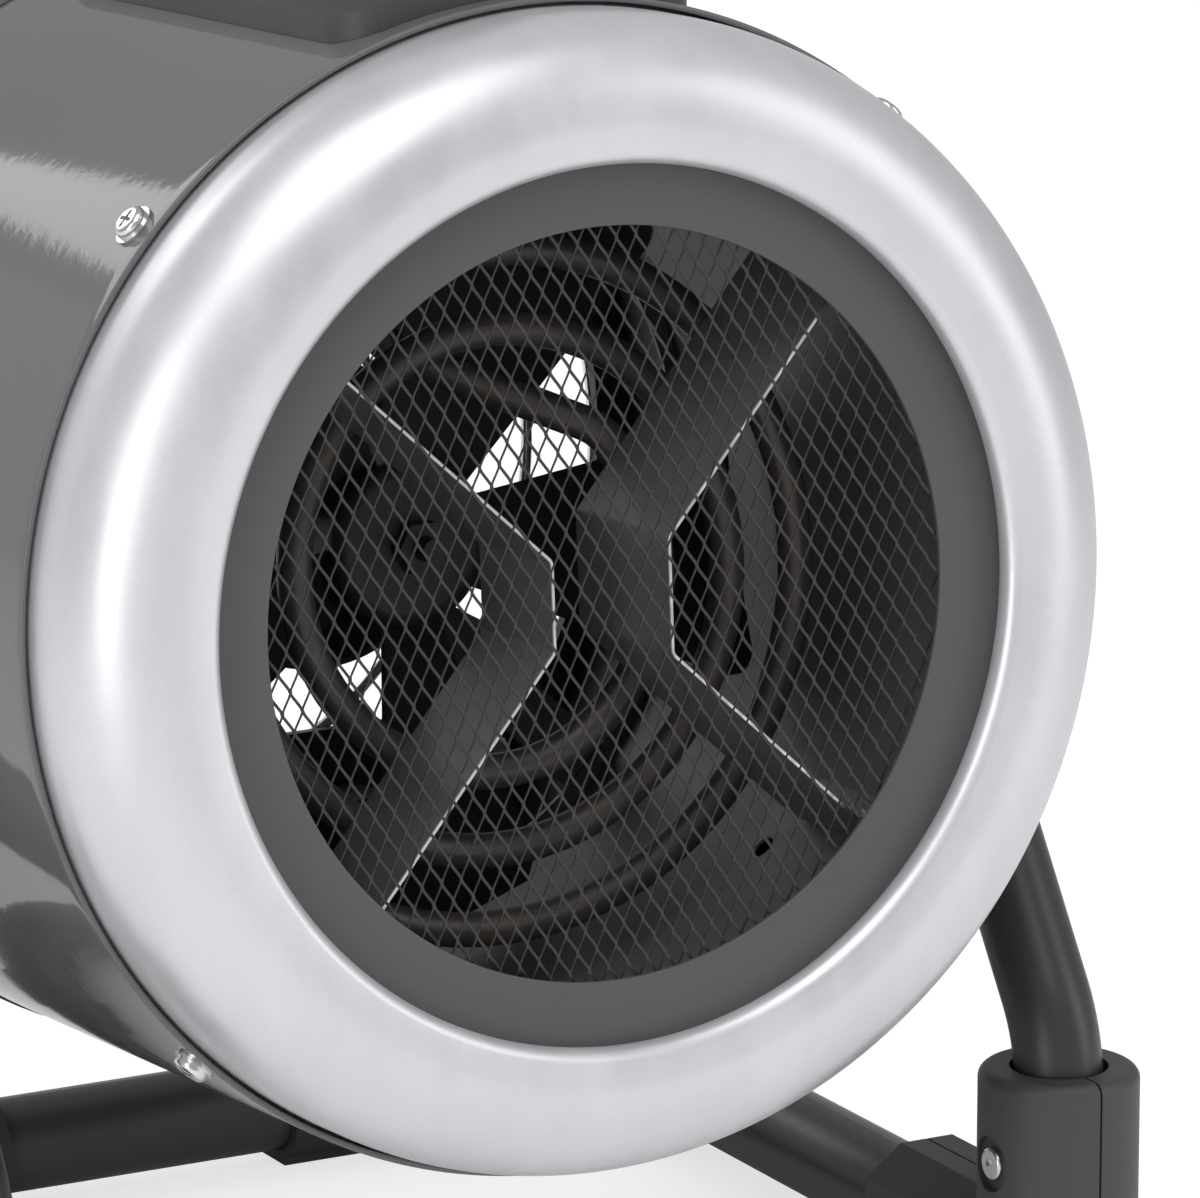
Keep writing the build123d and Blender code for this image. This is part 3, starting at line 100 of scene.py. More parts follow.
class HeadSizes(bpy.types.PropertyGroup):
    """Sizes of the tilting head, about its own axis. Depths run back from the bezel's face."""

    pivot_depth: mm("Pivot depth", 126.0, "From the bezel's front face back to the tilt axis")
    ring_radius: mm("Ring radius", 136.6, "Outer radius of the pressed front ring")
    ring_bulge: mm("Ring bulge", 23.5, "Radius of the ring's rounded outer edge")
    ring_wall: mm("Ring wall", 1.2, "Sheet thickness of the ring")
    lip_radius: mm("Lip radius", 103.0, "Radius of the ring's inner lip")
    casing_radius: mm("Casing radius", side_reach("outer_casing"), "Outer radius of the casing tube")
    casing_front: mm("Casing front", 23.5, "Depth of the casing's front hem")
    casing_rear: mm("Casing rear", 196.0, "Depth of the casing's rear edge")
    bezel_opening: mm("Bezel opening", 88.3, "Radius of the opening in the dark bezel")
    bezel_outer: mm("Bezel outer", side_reach("grille_bezel"), "Outer radius of the bezel")
    mesh_across: mm("Mesh pitch across", 5.1, "Width of one diamond of the mesh")
    mesh_up: mm("Mesh pitch up", 9.4, "Height of one diamond of the mesh")
    mesh_strand: mm("Mesh strand", 0.56, "Width of a strand of the mesh")
    mesh_lean: degrees("Mesh lean", 4.0, "Turn of the mesh in its own plane")
    liner_radius: mm("Liner radius", 106.0, "Outer radius of the air duct")
    strip_rear: mm("Strip rear", 52.5, "Depth of the rear edges of the strips")
    element_gap: mm("Element gap", 0.25, "From the strips back to the element")
    element_radius: mm("Element radius", 4.25, "Radius of the sheathed element")
    element_pitch: mm("Element pitch", 19.0, "Distance between turns of the spiral")
    fan_depth: mm("Fan depth", 110.0, "Depth of the middle of the fan")
    fan_radius: mm("Fan radius", 98.0, "Radius of the fan's tips")
    fan_hub: mm("Fan hub", 21.0, "Radius of the fan's hub")


class FinishColours(bpy.types.PropertyGroup):
    """Colours of the finishes."""

    silver: tint("Ring silver", (0.665, 0.67, 0.695), "Satin silver of the front ring")
    enamel: tint("Casing grey", (0.115, 0.118, 0.123), "Gloss enamel of the casing")
    bezel: tint("Bezel grey", (0.070, 0.070, 0.073), "Satin paint of the bezel")
    mesh: tint("Mesh black", (0.036, 0.036, 0.038), "Coating of the mesh")
    sheath: tint("Element sheath", (0.085, 0.081, 0.079), "Oxidised sheath of the element")
    strip: tint("Strip grey", (0.19, 0.19, 0.193), "Coating of the element strips")
    liner: tint("Liner steel", (0.125, 0.125, 0.128), "Coated steel of the air duct")
    tube: tint("Tube black", (0.032, 0.032, 0.034), "Powder coat of the stand")
    moulding: tint("Moulded grey", (0.047, 0.047, 0.049), "Plastic of the fittings and handle")


class Wire:
    """A shader socket that can be used in sums."""

    def __init__(self, tree, socket):
        self.tree = tree
        self.socket = socket

    def _math(self, operation, first, second):
        """One Math node."""
        return self.tree.add("ShaderNodeMath", {"operation": operation}, {0: first, 1: second})

    def __add__(self, other):
        return self._math("ADD", self, other)

    __radd__ = __add__

    def __mul__(self, other):
        return self._math("MULTIPLY", self, other)

    __rmul__ = __mul__

    def __sub__(self, other):
        return self._math("SUBTRACT", self, other)

    def __rsub__(self, other):
        return self._math("SUBTRACT", other, self)

    def __truediv__(self, other):
        return self._math("DIVIDE", self, other)

    def __rtruediv__(self, other):
        return self._math("DIVIDE", other, self)

    def clamp(self):
        """The value held between 0 and 1."""
        return self.tree.add("ShaderNodeClamp", {}, {"Value": self})

    def above(self, limit, softness):
        """0 below the limit, 1 above it, with a soft step."""
        return ((self - (limit - softness)) / (2 * softness)).clamp()

    def swing(self, amount):
        """A noise between 0 and 1, moved to lie evenly about 0, times an amount."""
        return (self - NOISE_MIDDLE) * amount


class Tree:
    """Node tree of a material or of the world."""

    def __init__(self, owner, output="ShaderNodeOutputMaterial"):
        owner.use_nodes = True
        self.owner = owner
        self.nodes = owner.node_tree.nodes
        self.links = owner.node_tree.links
        self.nodes.clear()
        self.output = self.nodes.new(output)

    def add(self, kind, settings, inputs, out=0):
        """Makes a node, sets its settings, then its inputs, and returns one output."""
        node = self.nodes.new(kind)
        for key, value in settings.items():
            setattr(node, key, value)
        for key, value in inputs.items():
            socket = node.inputs[key]
            if isinstance(value, Wire):
                self.links.new(value.socket, socket)
            else:
                socket.default_value = value
        return Wire(self, node.outputs[out])

    def noise(self, scale, detail=3.0, roughness=0.5, stretch=None):
        """Noise between 0 and 1 over Object coordinates, with scale in cycles a metre."""
        vector = self.add("ShaderNodeTexCoord", {}, {}, "Object")
        if stretch:
            vector = self.add("ShaderNodeMapping", {}, {"Vector": vector, "Scale": stretch})
        values = {"Vector": vector, "Scale": scale, "Detail": detail, "Roughness": roughness}
        return self.add("ShaderNodeTexNoise", {"noise_dimensions": "3D"}, values, "Fac")

    def bump(self, height, strength, depth):
        """Normal from a height pattern whose full depth is given in millimetres."""
        values = {"Height": height, "Strength": strength, "Distance": depth * MM}
        return self.add("ShaderNodeBump", {}, values, "Normal")

    def blend(self, factor, first, second):
        """Colour between two colours."""
        first = first if isinstance(first, Wire) else (*first, 1.0)
        second = second if isinstance(second, Wire) else (*second, 1.0)
        values = {0: factor, MIX_FIRST_COLOUR: first, MIX_SECOND_COLOUR: second}
        return self.add("ShaderNodeMix", {"data_type": "RGBA"}, values, MIX_COLOUR_OUT)

    def shades(self, factor, shade, low, high):
        """Colour between two strengths of one colour."""
        return self.blend(factor, scaled(shade, low), scaled(shade, high))

    def show(self, shader):
        """Links a shader to the output."""
        self.links.new(shader.socket, self.output.inputs["Surface"])

    def finish(self, colour, roughness, normal, others=None):
        """A Principled surface. others holds further inputs by their own names."""
        values = {"Base Color": colour, "Roughness": roughness, "Normal": normal, **(others or {})}
        self.show(self.add("ShaderNodeBsdfPrincipled", {}, values))
        return self.owner


def scaled(shade, factor):
    """A colour times a number."""
    return tuple(min(1.0, channel * factor) for channel in shade)


def mingled(first, second, share):
    """Two patterns in one: the first times its share plus the second times the rest."""
    return (first * share + second * (1.0 - share)).clamp()


def paint(name, shade, rough, metal=0.0, mottle=0.12, grain=900.0, depth=0.02, coat=0.0, spread=0.06):
    """Painted or moulded surface with fine grain, faint mottling and uneven gloss."""
    tree = Tree(bpy.data.materials.new(name))
    cloud = tree.noise(22.0, detail=4.0)
    fine = tree.noise(grain, roughness=0.6)
    colour = tree.shades(mingled(cloud, fine, share=0.6), shade, 1.0 - mottle, 1.0 + mottle)
    gloss = cloud.swing(2 * spread) + fine.swing(spread) + rough
    others = {"Metallic": metal}
    if coat:
        others.update({"Coat Weight": coat, "Coat Roughness": 0.04})
    return tree.finish(colour, gloss.clamp(), tree.bump(fine, strength=0.6, depth=depth), others)


def silver_paint(name, shade):
    """Satin silver sheet with faint cloudy rub marks and fine flecks."""
    tree = Tree(bpy.data.materials.new(name))
    cloud = tree.noise(14.0, detail=5.0, roughness=0.6)
    fleck = tree.noise(2600.0, detail=2.0, roughness=0.7)
    rub = tree.noise(60.0, detail=4.0, roughness=0.6, stretch=(1.0, 1.0, 0.35))
    mixed = (cloud * 0.45 + rub * 0.3 + fleck * 0.25).swing(2.4) + NOISE_MIDDLE
    colour = tree.shades(mixed.clamp(), shade, low=0.86, high=1.10)
    gloss = rub.swing(0.20) + cloud.swing(0.16) + 0.38
    normal = tree.bump(fleck, strength=0.35, depth=0.012)
    return tree.finish(colour, gloss.clamp(), normal, {"Metallic": 0.6})


def enamel(name, shade):
    """Gloss baked enamel with a faint orange-peel surface."""
    tree = Tree(bpy.data.materials.new(name))
    cloud = tree.noise(9.0)
    peel = tree.noise(240.0)
    speck = tree.noise(3200.0, detail=2.0, roughness=0.6)
    colour = tree.shades(mingled(cloud, speck, share=0.7), shade, low=0.93, high=1.07)
    gloss = cloud.swing(0.03) + 0.07
    return tree.finish(colour, gloss.clamp(), tree.bump(peel, strength=0.6, depth=0.05), {"IOR": 1.4})


def bare_metal(name, shade, rough):
    """Plated or rolled metal with fine drawn marks."""
    tree = Tree(bpy.data.materials.new(name))
    drawn = tree.noise(900.0, detail=4.0, roughness=0.6)
    cloud = tree.noise(45.0, detail=4.0)
    colour = tree.shades(mingled(drawn, cloud, share=0.5), shade, low=0.90, high=1.10)
    gloss = drawn.swing(0.15) + cloud.swing(0.1) + rough
    normal = tree.bump(drawn, strength=0.3, depth=0.01)
    return tree.finish(colour, gloss.clamp(), normal, {"Metallic": 1.0})


def heat_oxide(name, shade):
    """Dark oxide on the element's sheath, a little browner and duller in patches."""
    tree = Tree(bpy.data.materials.new(name))
    patch = tree.noise(38.0, detail=5.0, roughness=0.65)
    grain = tree.noise(1500.0, roughness=0.7)
    brown = tuple(channel * warmth for channel, warmth in zip(shade, (1.7, 1.45, 1.3)))
    dark = tree.shades(grain, shade, low=0.8, high=1.35)
    colour = tree.blend(patch.above(0.56, softness=0.12), dark, brown)
    gloss = grain.swing(0.2) + patch.swing(0.2) + 0.42
    normal = tree.bump(grain, strength=0.5, depth=0.02)
    return tree.finish(colour, gloss.clamp(), normal, {"Metallic": 0.55})


def glass_lens(name, shade):
    """Tinted glossy plastic with a fine moulded grain."""
    tree = Tree(bpy.data.materials.new(name))
    fine = tree.noise(700.0, detail=2.0)
    colour = tree.shades(fine, shade, low=0.85, high=1.15)
    normal = tree.bump(fine, strength=0.3, depth=0.02)
    return tree.finish(colour, 0.12, normal, {"Coat Weight": 0.8})


def glazed(name, shade):
    """Glazed ceramic with small specks."""
    tree = Tree(bpy.data.materials.new(name))
    speck = tree.noise(1800.0, roughness=0.7).above(0.62, softness=0.05)
    colour = tree.shades(speck, shade, low=1.0, high=0.75)
    normal = tree.bump(tree.noise(160.0, detail=2.0), strength=0.3, depth=0.05)
    return tree.finish(colour, 0.28, normal)


def soft_rubber(name, shade):
    """Dull rubber with a fine moulded grain."""
    tree = Tree(bpy.data.materials.new(name))
    grain = tree.noise(1300.0, detail=4.0, roughness=0.7)
    dust = tree.noise(60.0, detail=4.0)
    colour = tree.shades(mingled(grain, dust, share=0.4), shade, low=0.8, high=1.5)
    return tree.finish(colour, 0.72, tree.bump(grain, strength=0.6, depth=0.03))


finishes = {}


def make_finishes(colours):
    """Every finish of the heater, by the record's slot name. cut_edge, for the bright edges of the
    strips, is the one finish that isn't a slot."""
    painted = {
        "bezel_dark": (colours.bezel, 0.42, {"mottle": 0.06, "grain": 1800.0}),
        "mesh_black": (colours.mesh, 0.40, {"metal": 0.3, "grain": 2200.0}),
        "sheet_steel": (colours.liner, 0.50, {"metal": 0.30, "grain": 1500.0}),
        "strip_steel": (colours.strip, 0.38, {"metal": 0.4, "grain": 1400.0}),
        "fan_metal": ((0.035, 0.035, 0.036), 0.42, {"metal": 0.3}),
        "motor_metal": ((0.03, 0.03, 0.03), 0.45, {"metal": 0.2}),
        "tube_black": (colours.tube, 0.36, {"mottle": 0.08, "grain": 1500.0, "spread": 0.04}),
        "fitting_plastic": (colours.moulding, 0.52, {"mottle": 0.07, "grain": 2400.0, "depth": 0.03}),
        "handle_plastic": (colours.moulding, 0.50, {"mottle": 0.07, "grain": 1900.0, "depth": 0.04}),
        "housing_plastic": ((0.055, 0.055, 0.057), 0.50, {"grain": 1700.0, "depth": 0.03}),
        "knob_plastic": ((0.028, 0.028, 0.028), 0.42, {"grain": 1500.0}),
        "button_red": ((0.45, 0.03, 0.02), 0.3, {"coat": 0.3}),
    }
    for name, (shade, rough, others) in painted.items():
        finishes[name] = paint(name, tuple(shade), rough, **others)
    finishes["cut_edge"] = bare_metal("cut_edge", (0.86, 0.86, 0.86), rough=0.30)
    finishes["zinc"] = bare_metal("zinc", (0.72, 0.72, 0.73), rough=0.22)
    finishes["ring_silver"] = silver_paint("ring_silver", tuple(colours.silver))
    finishes["casing_grey"] = enamel("casing_grey", tuple(colours.enamel))
    finishes["element_sheath"] = heat_oxide("element_sheath", tuple(colours.sheath))
    finishes["ceramic"] = glazed("ceramic", (0.72, 0.70, 0.65))
    finishes["rubber_black"] = soft_rubber("rubber_black", (0.022, 0.022, 0.022))
    finishes["lamp_red"] = glass_lens("lamp_red", (0.55, 0.03, 0.02))


class Surface:
    """Point grids gathered into one mesh."""

    def __init__(self):
        self.points = []
        self.faces = []
        self.slots = []
        self.count = 0

    def _keep(self, points, faces, slot):
        """Adds points, and faces that count from the first of them."""
        points = points.reshape(-1, 3)
        self.points.append(points)
        self.faces.extend((faces + self.count).tolist())
        self.slots.extend([slot] * len(faces))
        self.count += len(points)

    def grid(self, points, wrap_u=False, wrap_v=False, slot=0):
        """Quads between neighbours of a grid of points, closed round either way if asked."""
        rows, columns = points.shape[:2]
        index = np.arange(rows * columns).reshape(rows, columns)
        if wrap_u:
            index = np.vstack([index, index[:1]])
        if wrap_v:
            index = np.hstack([index, index[:, :1]])
        quads = np.stack([index[:-1, :-1], index[1:, :-1], index[1:, 1:], index[:-1, 1:]], axis=-1)
        self._keep(points, quads.reshape(-1, 4), slot)
        return self

    def cap_ends(self, tube):
        """Triangles from the first and from the last loop of a tube to the loop's middle point."""
        for loop in (tube[0], tube[-1]):
            count = len(loop)
            first = np.arange(count)
            triangles = np.stack([first, np.roll(first, -1), np.full(count, count)], axis=-1)
            self._keep(np.vstack([loop, loop.mean(axis=0)]), triangles, 0)

    def make(self, name, materials):
        """Makes the object at the origin, with its place in its mesh."""
        mesh = bpy.data.meshes.new(name)
        mesh.from_pydata(np.vstack(self.points).tolist(), [], self.faces)
        for material in materials:
            mesh.materials.append(material)
        mesh.polygons.foreach_set("material_index", np.array(self.slots, dtype=np.int32))
        piece = bpy.data.objects.new(name, mesh)
        bpy.context.scene.collection.objects.link(piece)
        return piece

    def build(self, name, body, slot, replaced, edge_finish=None, crease=40.0, merge=True):
        """Makes the piece, smooths it up to the crease angle in degrees, rides it on its body and
        gives it its finish. edge_finish is for the faces that were kept under slot 1."""
        materials = [finishes[slot]] + ([finishes[edge_finish]] if edge_finish else [])
        piece = self.make(name, materials)
        if merge:
            merge_doubles(piece.data)
        piece.data.shade_smooth()
        piece.data.set_sharp_from_angle(angle=math.radians(crease))
        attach(piece, body)
        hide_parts(*replaced)


def merge_doubles(mesh):
    """Joins points that share a place, and turns the faces outwards."""
    work = bmesh.new()
    work.from_mesh(mesh)
    bmesh.ops.remove_doubles(work, verts=work.verts, dist=1e-6)
    bmesh.ops.recalc_face_normals(work, faces=work.faces)
    work.to_mesh(mesh)
    work.free()


def head(points):
    """Points drawn about the head's axis, moved to the part's frame: depth is measured from the
    pivot and turned by the rest tilt, y being depth times cosine plus rise times sine and z being
    rise times cosine minus depth times sine, and the pivot's place is added."""
    points = np.asarray(points, dtype=float)
    depth = points[..., 1] - bpy.context.scene.heater_head.pivot_depth
    rise = points[..., 2]
    cos_tilt = math.cos(rest_tilt)
    sin_tilt = math.sin(rest_tilt)
    placed = np.empty_like(points)
    placed[..., 0] = pivot[0] + points[..., 0]
    placed[..., 1] = pivot[1] + depth * cos_tilt + rise * sin_tilt
    placed[..., 2] = pivot[2] - depth * sin_tilt + rise * cos_tilt
    return placed


def spun(points, angle):
    """Points turned about the head's axis by an angle in radians: x is x times cosine minus z
    times sine, and z is x times sine plus z times cosine."""
    x = points[..., 0] * math.cos(angle) - points[..., 2] * math.sin(angle)
    z = points[..., 0] * math.sin(angle) + points[..., 2] * math.cos(angle)
    return np.stack([x, points[..., 1], z], axis=-1)


def around(radius, angle):
    """Point seen from the front at a radius and an angle in radians: radius times cosine and sine."""
    return radius * np.array([math.cos(angle), math.sin(angle)])


def arc(centre, radius, start, end, count):
    """Points on a circle between two angles in degrees: centre plus radius times cosine and sine."""
    angles = np.radians(np.linspace(start, end, count))
    return np.stack([centre[0] + radius * np.cos(angles), centre[1] + radius * np.sin(angles)], axis=-1)


def turned(profile, count):
    """Profile of (radius, depth) points carried round the head's axis: at each angle the point is
    radius times cosine, depth, radius times sine."""
    angles = np.radians(np.linspace(0.0, 360.0, count, endpoint=False))
    radius = profile[None, :, 0]
    depth = np.broadcast_to(profile[None, :, 1], (count, len(profile)))
    x = radius * np.cos(angles)[:, None]
    z = radius * np.sin(angles)[:, None]
    return np.stack([x, depth, z], axis=-1)


def unit(vector):
    """A vector divided by its length."""
    return vector / np.linalg.norm(vector)


def smooth_path(corners, radii, step=6.0):
    """Straight runs joined by arcs: at each corner the arc touches both runs, at its radius times
    the tangent of half the turn from the corner. step is the arc's angle between points."""
    corners = [np.asarray(corner, dtype=float) for corner in corners]
    points = [corners[0]]
    for before, corner, after, radius in zip(corners[:-2], corners[1:-1], corners[2:], radii):
        first = unit(before - corner)
        second = unit(after - corner)
        half_turn = (math.pi - math.acos(np.clip(first @ second, -1, 1))) / 2
        bisector = unit(first + second)
        across = unit(second - first)
        centre = corner + bisector * radius / math.cos(half_turn)
        spread = np.linspace(-half_turn, half_turn, max(3, int(math.degrees(2 * half_turn) / step) + 1))
        way = bisector * np.cos(spread)[:, None] - across * np.sin(spread)[:, None]
        points.extend(centre - radius * way)
    points.append(corners[-1])
    return np.array(points)


def path_frames(path, reference):
    """Two side directions at each point of a path, which turn as little as they can: the first is
    the last one less its part along the path, at length 1, and the second is square to both."""
    tangents = np.gradient(path, axis=0)
    tangents /= np.linalg.norm(tangents, axis=1)[:, None]
    side = np.asarray(reference, dtype=float)
    sides = []
    for tangent in tangents:
        side = unit(side - tangent * (side @ tangent))
        sides.append(side)
    sides = np.array(sides)
    return sides, np.cross(tangents, sides)


def tube_points(path, radius, reference, sides):
    """Circle carried along a path: path plus radius times (cosine side + sine other side)."""
    first, second = path_frames(path, reference)
    angles = np.radians(np.linspace(0, 360, sides, endpoint=False))[None, :, None]
    wave = radius * np.cos(angles) * first[:, None, :]
    other_wave = radius * np.sin(angles) * second[:, None, :]
    return path[:, None, :] + wave + other_wave


def turned_piece(outline, facets, name, slot, node):
    """Turns a closed outline into a piece of the head that stands for one node."""
    shell = Surface().grid(head(turned(np.vstack(outline), facets)), wrap_u=True, wrap_v=True)
    shell.build(name, "head", slot, [node])


# In the outlines below, a break is one more point on a straight stretch
def ring_profile(sizes, inset):
    """Outline of the ring's sheet, moved in by inset: lip, small roll, quarter-round bulge, side,
    step and skirt. The roll and the bulge are arcs whose centres don't move with the inset."""
    lip = sizes.lip_radius + inset
    lip_flare = 1.5 * MM
    lip_neck = 0.5 * MM
    neck_front = -1.6 * MM
    lip_front = -2.8 * MM
    roll = 4.0 * MM
    roll_front = -3.8 * MM
    bulge_front = -8.5 * MM
    side = sizes.ring_radius - inset
    side_breaks = (-8.0 * MM, -4.0 * MM)
    step = sizes.casing_front + 3.0 * MM
    step_height = 2.0 * MM
    step_shift = inset / 3
    skirt_gap = 1.3 * MM
    skirt = sizes.casing_radius - skirt_gap - inset
    skirt_end = 17.0 * MM
    roll_centre = (sizes.lip_radius + roll, roll_front)
    bulge_centre = (sizes.ring_radius - sizes.ring_bulge, sizes.ring_bulge + bulge_front)
    parts = [
        [(lip + lip_flare, 0.0), (lip + lip_neck, neck_front), (lip, lip_front)],
        arc(roll_centre, roll - inset, 180, 262, 12),
        arc(bulge_centre, sizes.ring_bulge - inset, 266, 360, 36),
        [(side, step + place) for place in side_breaks],
        [(side, step + step_shift), (skirt, step + step_height + step_shift), (skirt, step + skirt_end)],
    ]
    return np.vstack(parts)


class HEATER_OT_front_ring(bpy.types.Operator):
    """Pressed silver ring round the outlet"""

    bl_idname = "heater.front_ring"
    bl_label = "Front ring"

    def execute(self, context):
        sizes = context.scene.heater_head
        outline = [ring_profile(sizes, 0.0), ring_profile(sizes, sizes.ring_wall)[::-1]]
        turned_piece(outline, 288, "front_ring_shell", "ring_silver", "front_ring")
        return {"FINISHED"}


class HEATER_OT_casing(bpy.types.Operator):
    """Rolled casing tube with a folded front hem"""

    bl_idname = "heater.casing"
    bl_label = "Casing"

    def execute(self, context):
        sizes = context.scene.heater_head
        outer = sizes.casing_radius
        front = sizes.casing_front
        rear = sizes.casing_rear
        fold = 0.75 * MM
        hem_end = 3.2 * MM
        hem_foot = 3.5 * MM
        inner = outer - 1.0 * MM
        inner_break = 60 * MM
        outer_breaks = (90 * MM, 4 * MM)
        outline = [
            arc((outer - fold, front + fold), fold, 0, -180, 14),
            [(outer - 2 * fold, front + hem_end), (inner, front + hem_foot)],
            [(inner, front + inner_break), (inner, rear), (outer, rear)],
            [(outer, front + place) for place in outer_breaks],
        ]
        turned_piece(outline, 288, "outer_casing_shell", "casing_grey", "outer_casing")
        return {"FINISHED"}


class HEATER_OT_bezel(bpy.types.Operator):
    """Flat dark ring round the mesh"""

    bl_idname = "heater.bezel"
    bl_label = "Bezel"

    def execute(self, context):
        sizes = context.scene.heater_head
        inner = sizes.bezel_opening
        outer = sizes.bezel_outer
        edge = 0.35 * MM
        thick = 1.5 * MM
        face_break = 8 * MM
        outline = [
            arc((inner + edge, thick - edge), edge, 90, 180, 5),
            arc((inner + edge, edge), edge, 180, 270, 5),
            [(inner + face_break, 0.0), (outer, 0.0), (outer, thick)],
        ]
        turned_piece(outline, 256, "grille_bezel_ring", "bezel_dark", "grille_bezel")
        return {"FINISHED"}


class HEATER_OT_mesh(bpy.types.Operator):
    """Expanded mesh behind the bezel"""

    bl_idname = "heater.mesh"
    bl_label = "Mesh"

    def execute(self, context):
        sizes = context.scene.heater_head
        spacing = sizes.mesh_across / 2
        under_bezel = 6 * MM
        reach = sizes.bezel_opening + under_bezel
        last = int(reach / spacing)
        sheet = Surface()
        for index in range(-last, last + 1):
            x = index * spacing
            span = math.sqrt(max(reach**2 - x**2, 0.0))
            points = self.strand(sizes, x, span, index % 2)
            sheet.grid(head(spun(points, sizes.mesh_lean)), wrap_v=True)
        sheet.build("front_mesh_strands", "head", "mesh_black", ["front_mesh"], crease=30, merge=False)
        return {"FINISHED"}

    def strand(self, sizes, x, span, odd):
        """One zigzag strand: x plus half a spacing times a wave of z, which is part a triangle wave
        whose peaks are clipped flat where two strands meet and part a cosine. Its rectangular
        section leans one way on rising runs and the other way on falling runs."""
        points_per_diamond = 10
        bond = 0.10
        cosine_share = 0.25
        depth = 1.9 * MM
        half_sheet = 0.2 * MM
        twist = 0.16 * MM
        twist_gain = 2.5
        heights = np.arange(-span, span, sizes.mesh_up / points_per_diamond)
        phase = heights / sizes.mesh_up + (0.5 if odd else 0.0)
        triangle = np.clip((np.abs((phase % 1.0) - 0.5) * 4 - 1) * (1 + bond), -1, 1)
        wave = (1 - cosine_share) * triangle + cosine_share * np.cos(2 * math.pi * phase)
        middle = x + sizes.mesh_across / 4 * wave
        slope = np.gradient(middle, heights)
        lean = np.clip(slope * twist_gain, -1, 1) * twist
        half_width = sizes.mesh_strand / 2 * np.sqrt(1 + slope**2)
        corners = []
        for side, back in ((-1, -1), (1, -1), (1, 1), (-1, 1)):
            y = depth + back * half_sheet + side * lean
            corners.append(np.stack([middle + side * half_width, y, heights], axis=-1))
        return np.stack(corners, axis=1)


def strip_line(corner_x, top, bottom, arm_up, arm_down, reach):
    """Bend points of an element strip seen from the front: an upright run between its top and
    bottom corners, an arm from each at its angle in degrees to the liner's radius, and a tab that
    turns along the liner."""
    tab_turn = math.radians(6)

    def arm_end(z, angle):
        """Where the line from the corner at z meets the circle: minus the corner's part along the
        arm, plus the root of that part squared less the corner squared plus the reach squared."""
        arm = around(1.0, math.radians(angle))
        corner = np.array([corner_x, z])
        along = corner @ arm
        return corner + (-along + math.sqrt(along**2 - corner @ corner + reach**2)) * arm

    def tab_end(point, side):
        """Point on the same circle, further round or back by the tab's turn."""
        return around(reach, math.atan2(point[1], point[0]) + side * tab_turn)

    outward = 1 if corner_x < 0 else -1
    upper = arm_end(top, arm_up)
    lower = arm_end(bottom, arm_down)
    upper_tab = tab_end(upper, outward)
    lower_tab = tab_end(lower, -outward)
    corners = [upper_tab, upper, (corner_x, top), (corner_x, bottom), lower, lower_tab]
    return [np.array([x, 0.0, z]) for x, z in corners]


class HEATER_OT_strips(bpy.types.Operator):
    """Folded strips that carry the element"""

    bl_idname = "heater.strips"
    bl_label = "Element strips"

    def execute(self, context):
        sizes = context.scene.heater_head
        liner_wall = 1.8 * MM
        reach = sizes.liner_radius - liner_wall
        left = strip_line(
            corner_x=-6 * MM, top=8.5 * MM, bottom=-13 * MM, arm_up=137, arm_down=-131, reach=reach
        )
        right = strip_line(
            corner_x=20 * MM, top=12.6 * MM, bottom=-15 * MM, arm_up=49, arm_down=-43.3, reach=reach
        )
        self.strip("left", left, 17.0 * MM, sizes.strip_rear)
        self.strip("right", right, 7.5 * MM, sizes.strip_rear)
        return {"FINISHED"}

    def strip(self, side, corners, front, rear):
        """A thin rounded rectangle on edge, carried along the folded line: path plus the section's
        depth times the depthwise side plus its width times the other side."""
        half = 0.5 * MM
        bevel = 0.18 * MM
        tab_bend = 2 * MM
        fold_bend = 2.5 * MM
        path = smooth_path(corners, [tab_bend, fold_bend, fold_bend, tab_bend], step=12.0)
        depthwise, across = path_frames(path, (0, 1, 0))
        section = np.array(
            [
                (front, -half + bevel),
                (front, half - bevel),
                (front + bevel, half),
                (rear - bevel, half),
                (rear, half - bevel),
                (rear, -half + bevel),
                (rear - bevel, -half),
                (front + bevel, -half),
            ]
        )
        points = path[:, None, :] + section[None, :, 0, None] * depthwise[:, None, :]
        placed = head(points + section[None, :, 1, None] * across[:, None, :])
        strip = Surface()
        # The front edge has the bright finish, and the rest of the way round the coating
        strip.grid(placed[:, [0, 1]], slot=1)
        strip.grid(placed[:, [1, 2, 3, 4, 5, 6, 7, 0]])
        strip.cap_ends(placed)
        name = f"element_strip_{side}"
        replaced = [f"element_bracket_{side}"]
        strip.build(name, "head", "strip_steel", replaced, edge_finish="cut_edge", crease=30)


def spiral_points(pitch, first_radius, depth, start, end):
    """The element's flat spiral as half circles whose centres step up and down by a quarter
    pitch, so each half turn grows by half a pitch. Angles run down from the start, in degrees."""
    step = 4.0
    first_stop = -90.0
    half_turn = 180.0
    pieces = []
    angle = start
    while angle > end:
        index = len(pieces)
        stop = max(first_stop - half_turn * index, end)
        centre_z = (-1) ** (index + 1) * pitch / 4
        radius = first_radius + index * pitch / 2
        flat = arc((0.0, centre_z), radius, angle, stop, max(3, int((angle - stop) / step)))
        if pieces:
            flat = flat[1:]
        pieces.append(np.stack([flat[:, 0], np.full(len(flat), depth), flat[:, 1]], axis=-1))
        angle = stop
    return np.vstack(pieces)


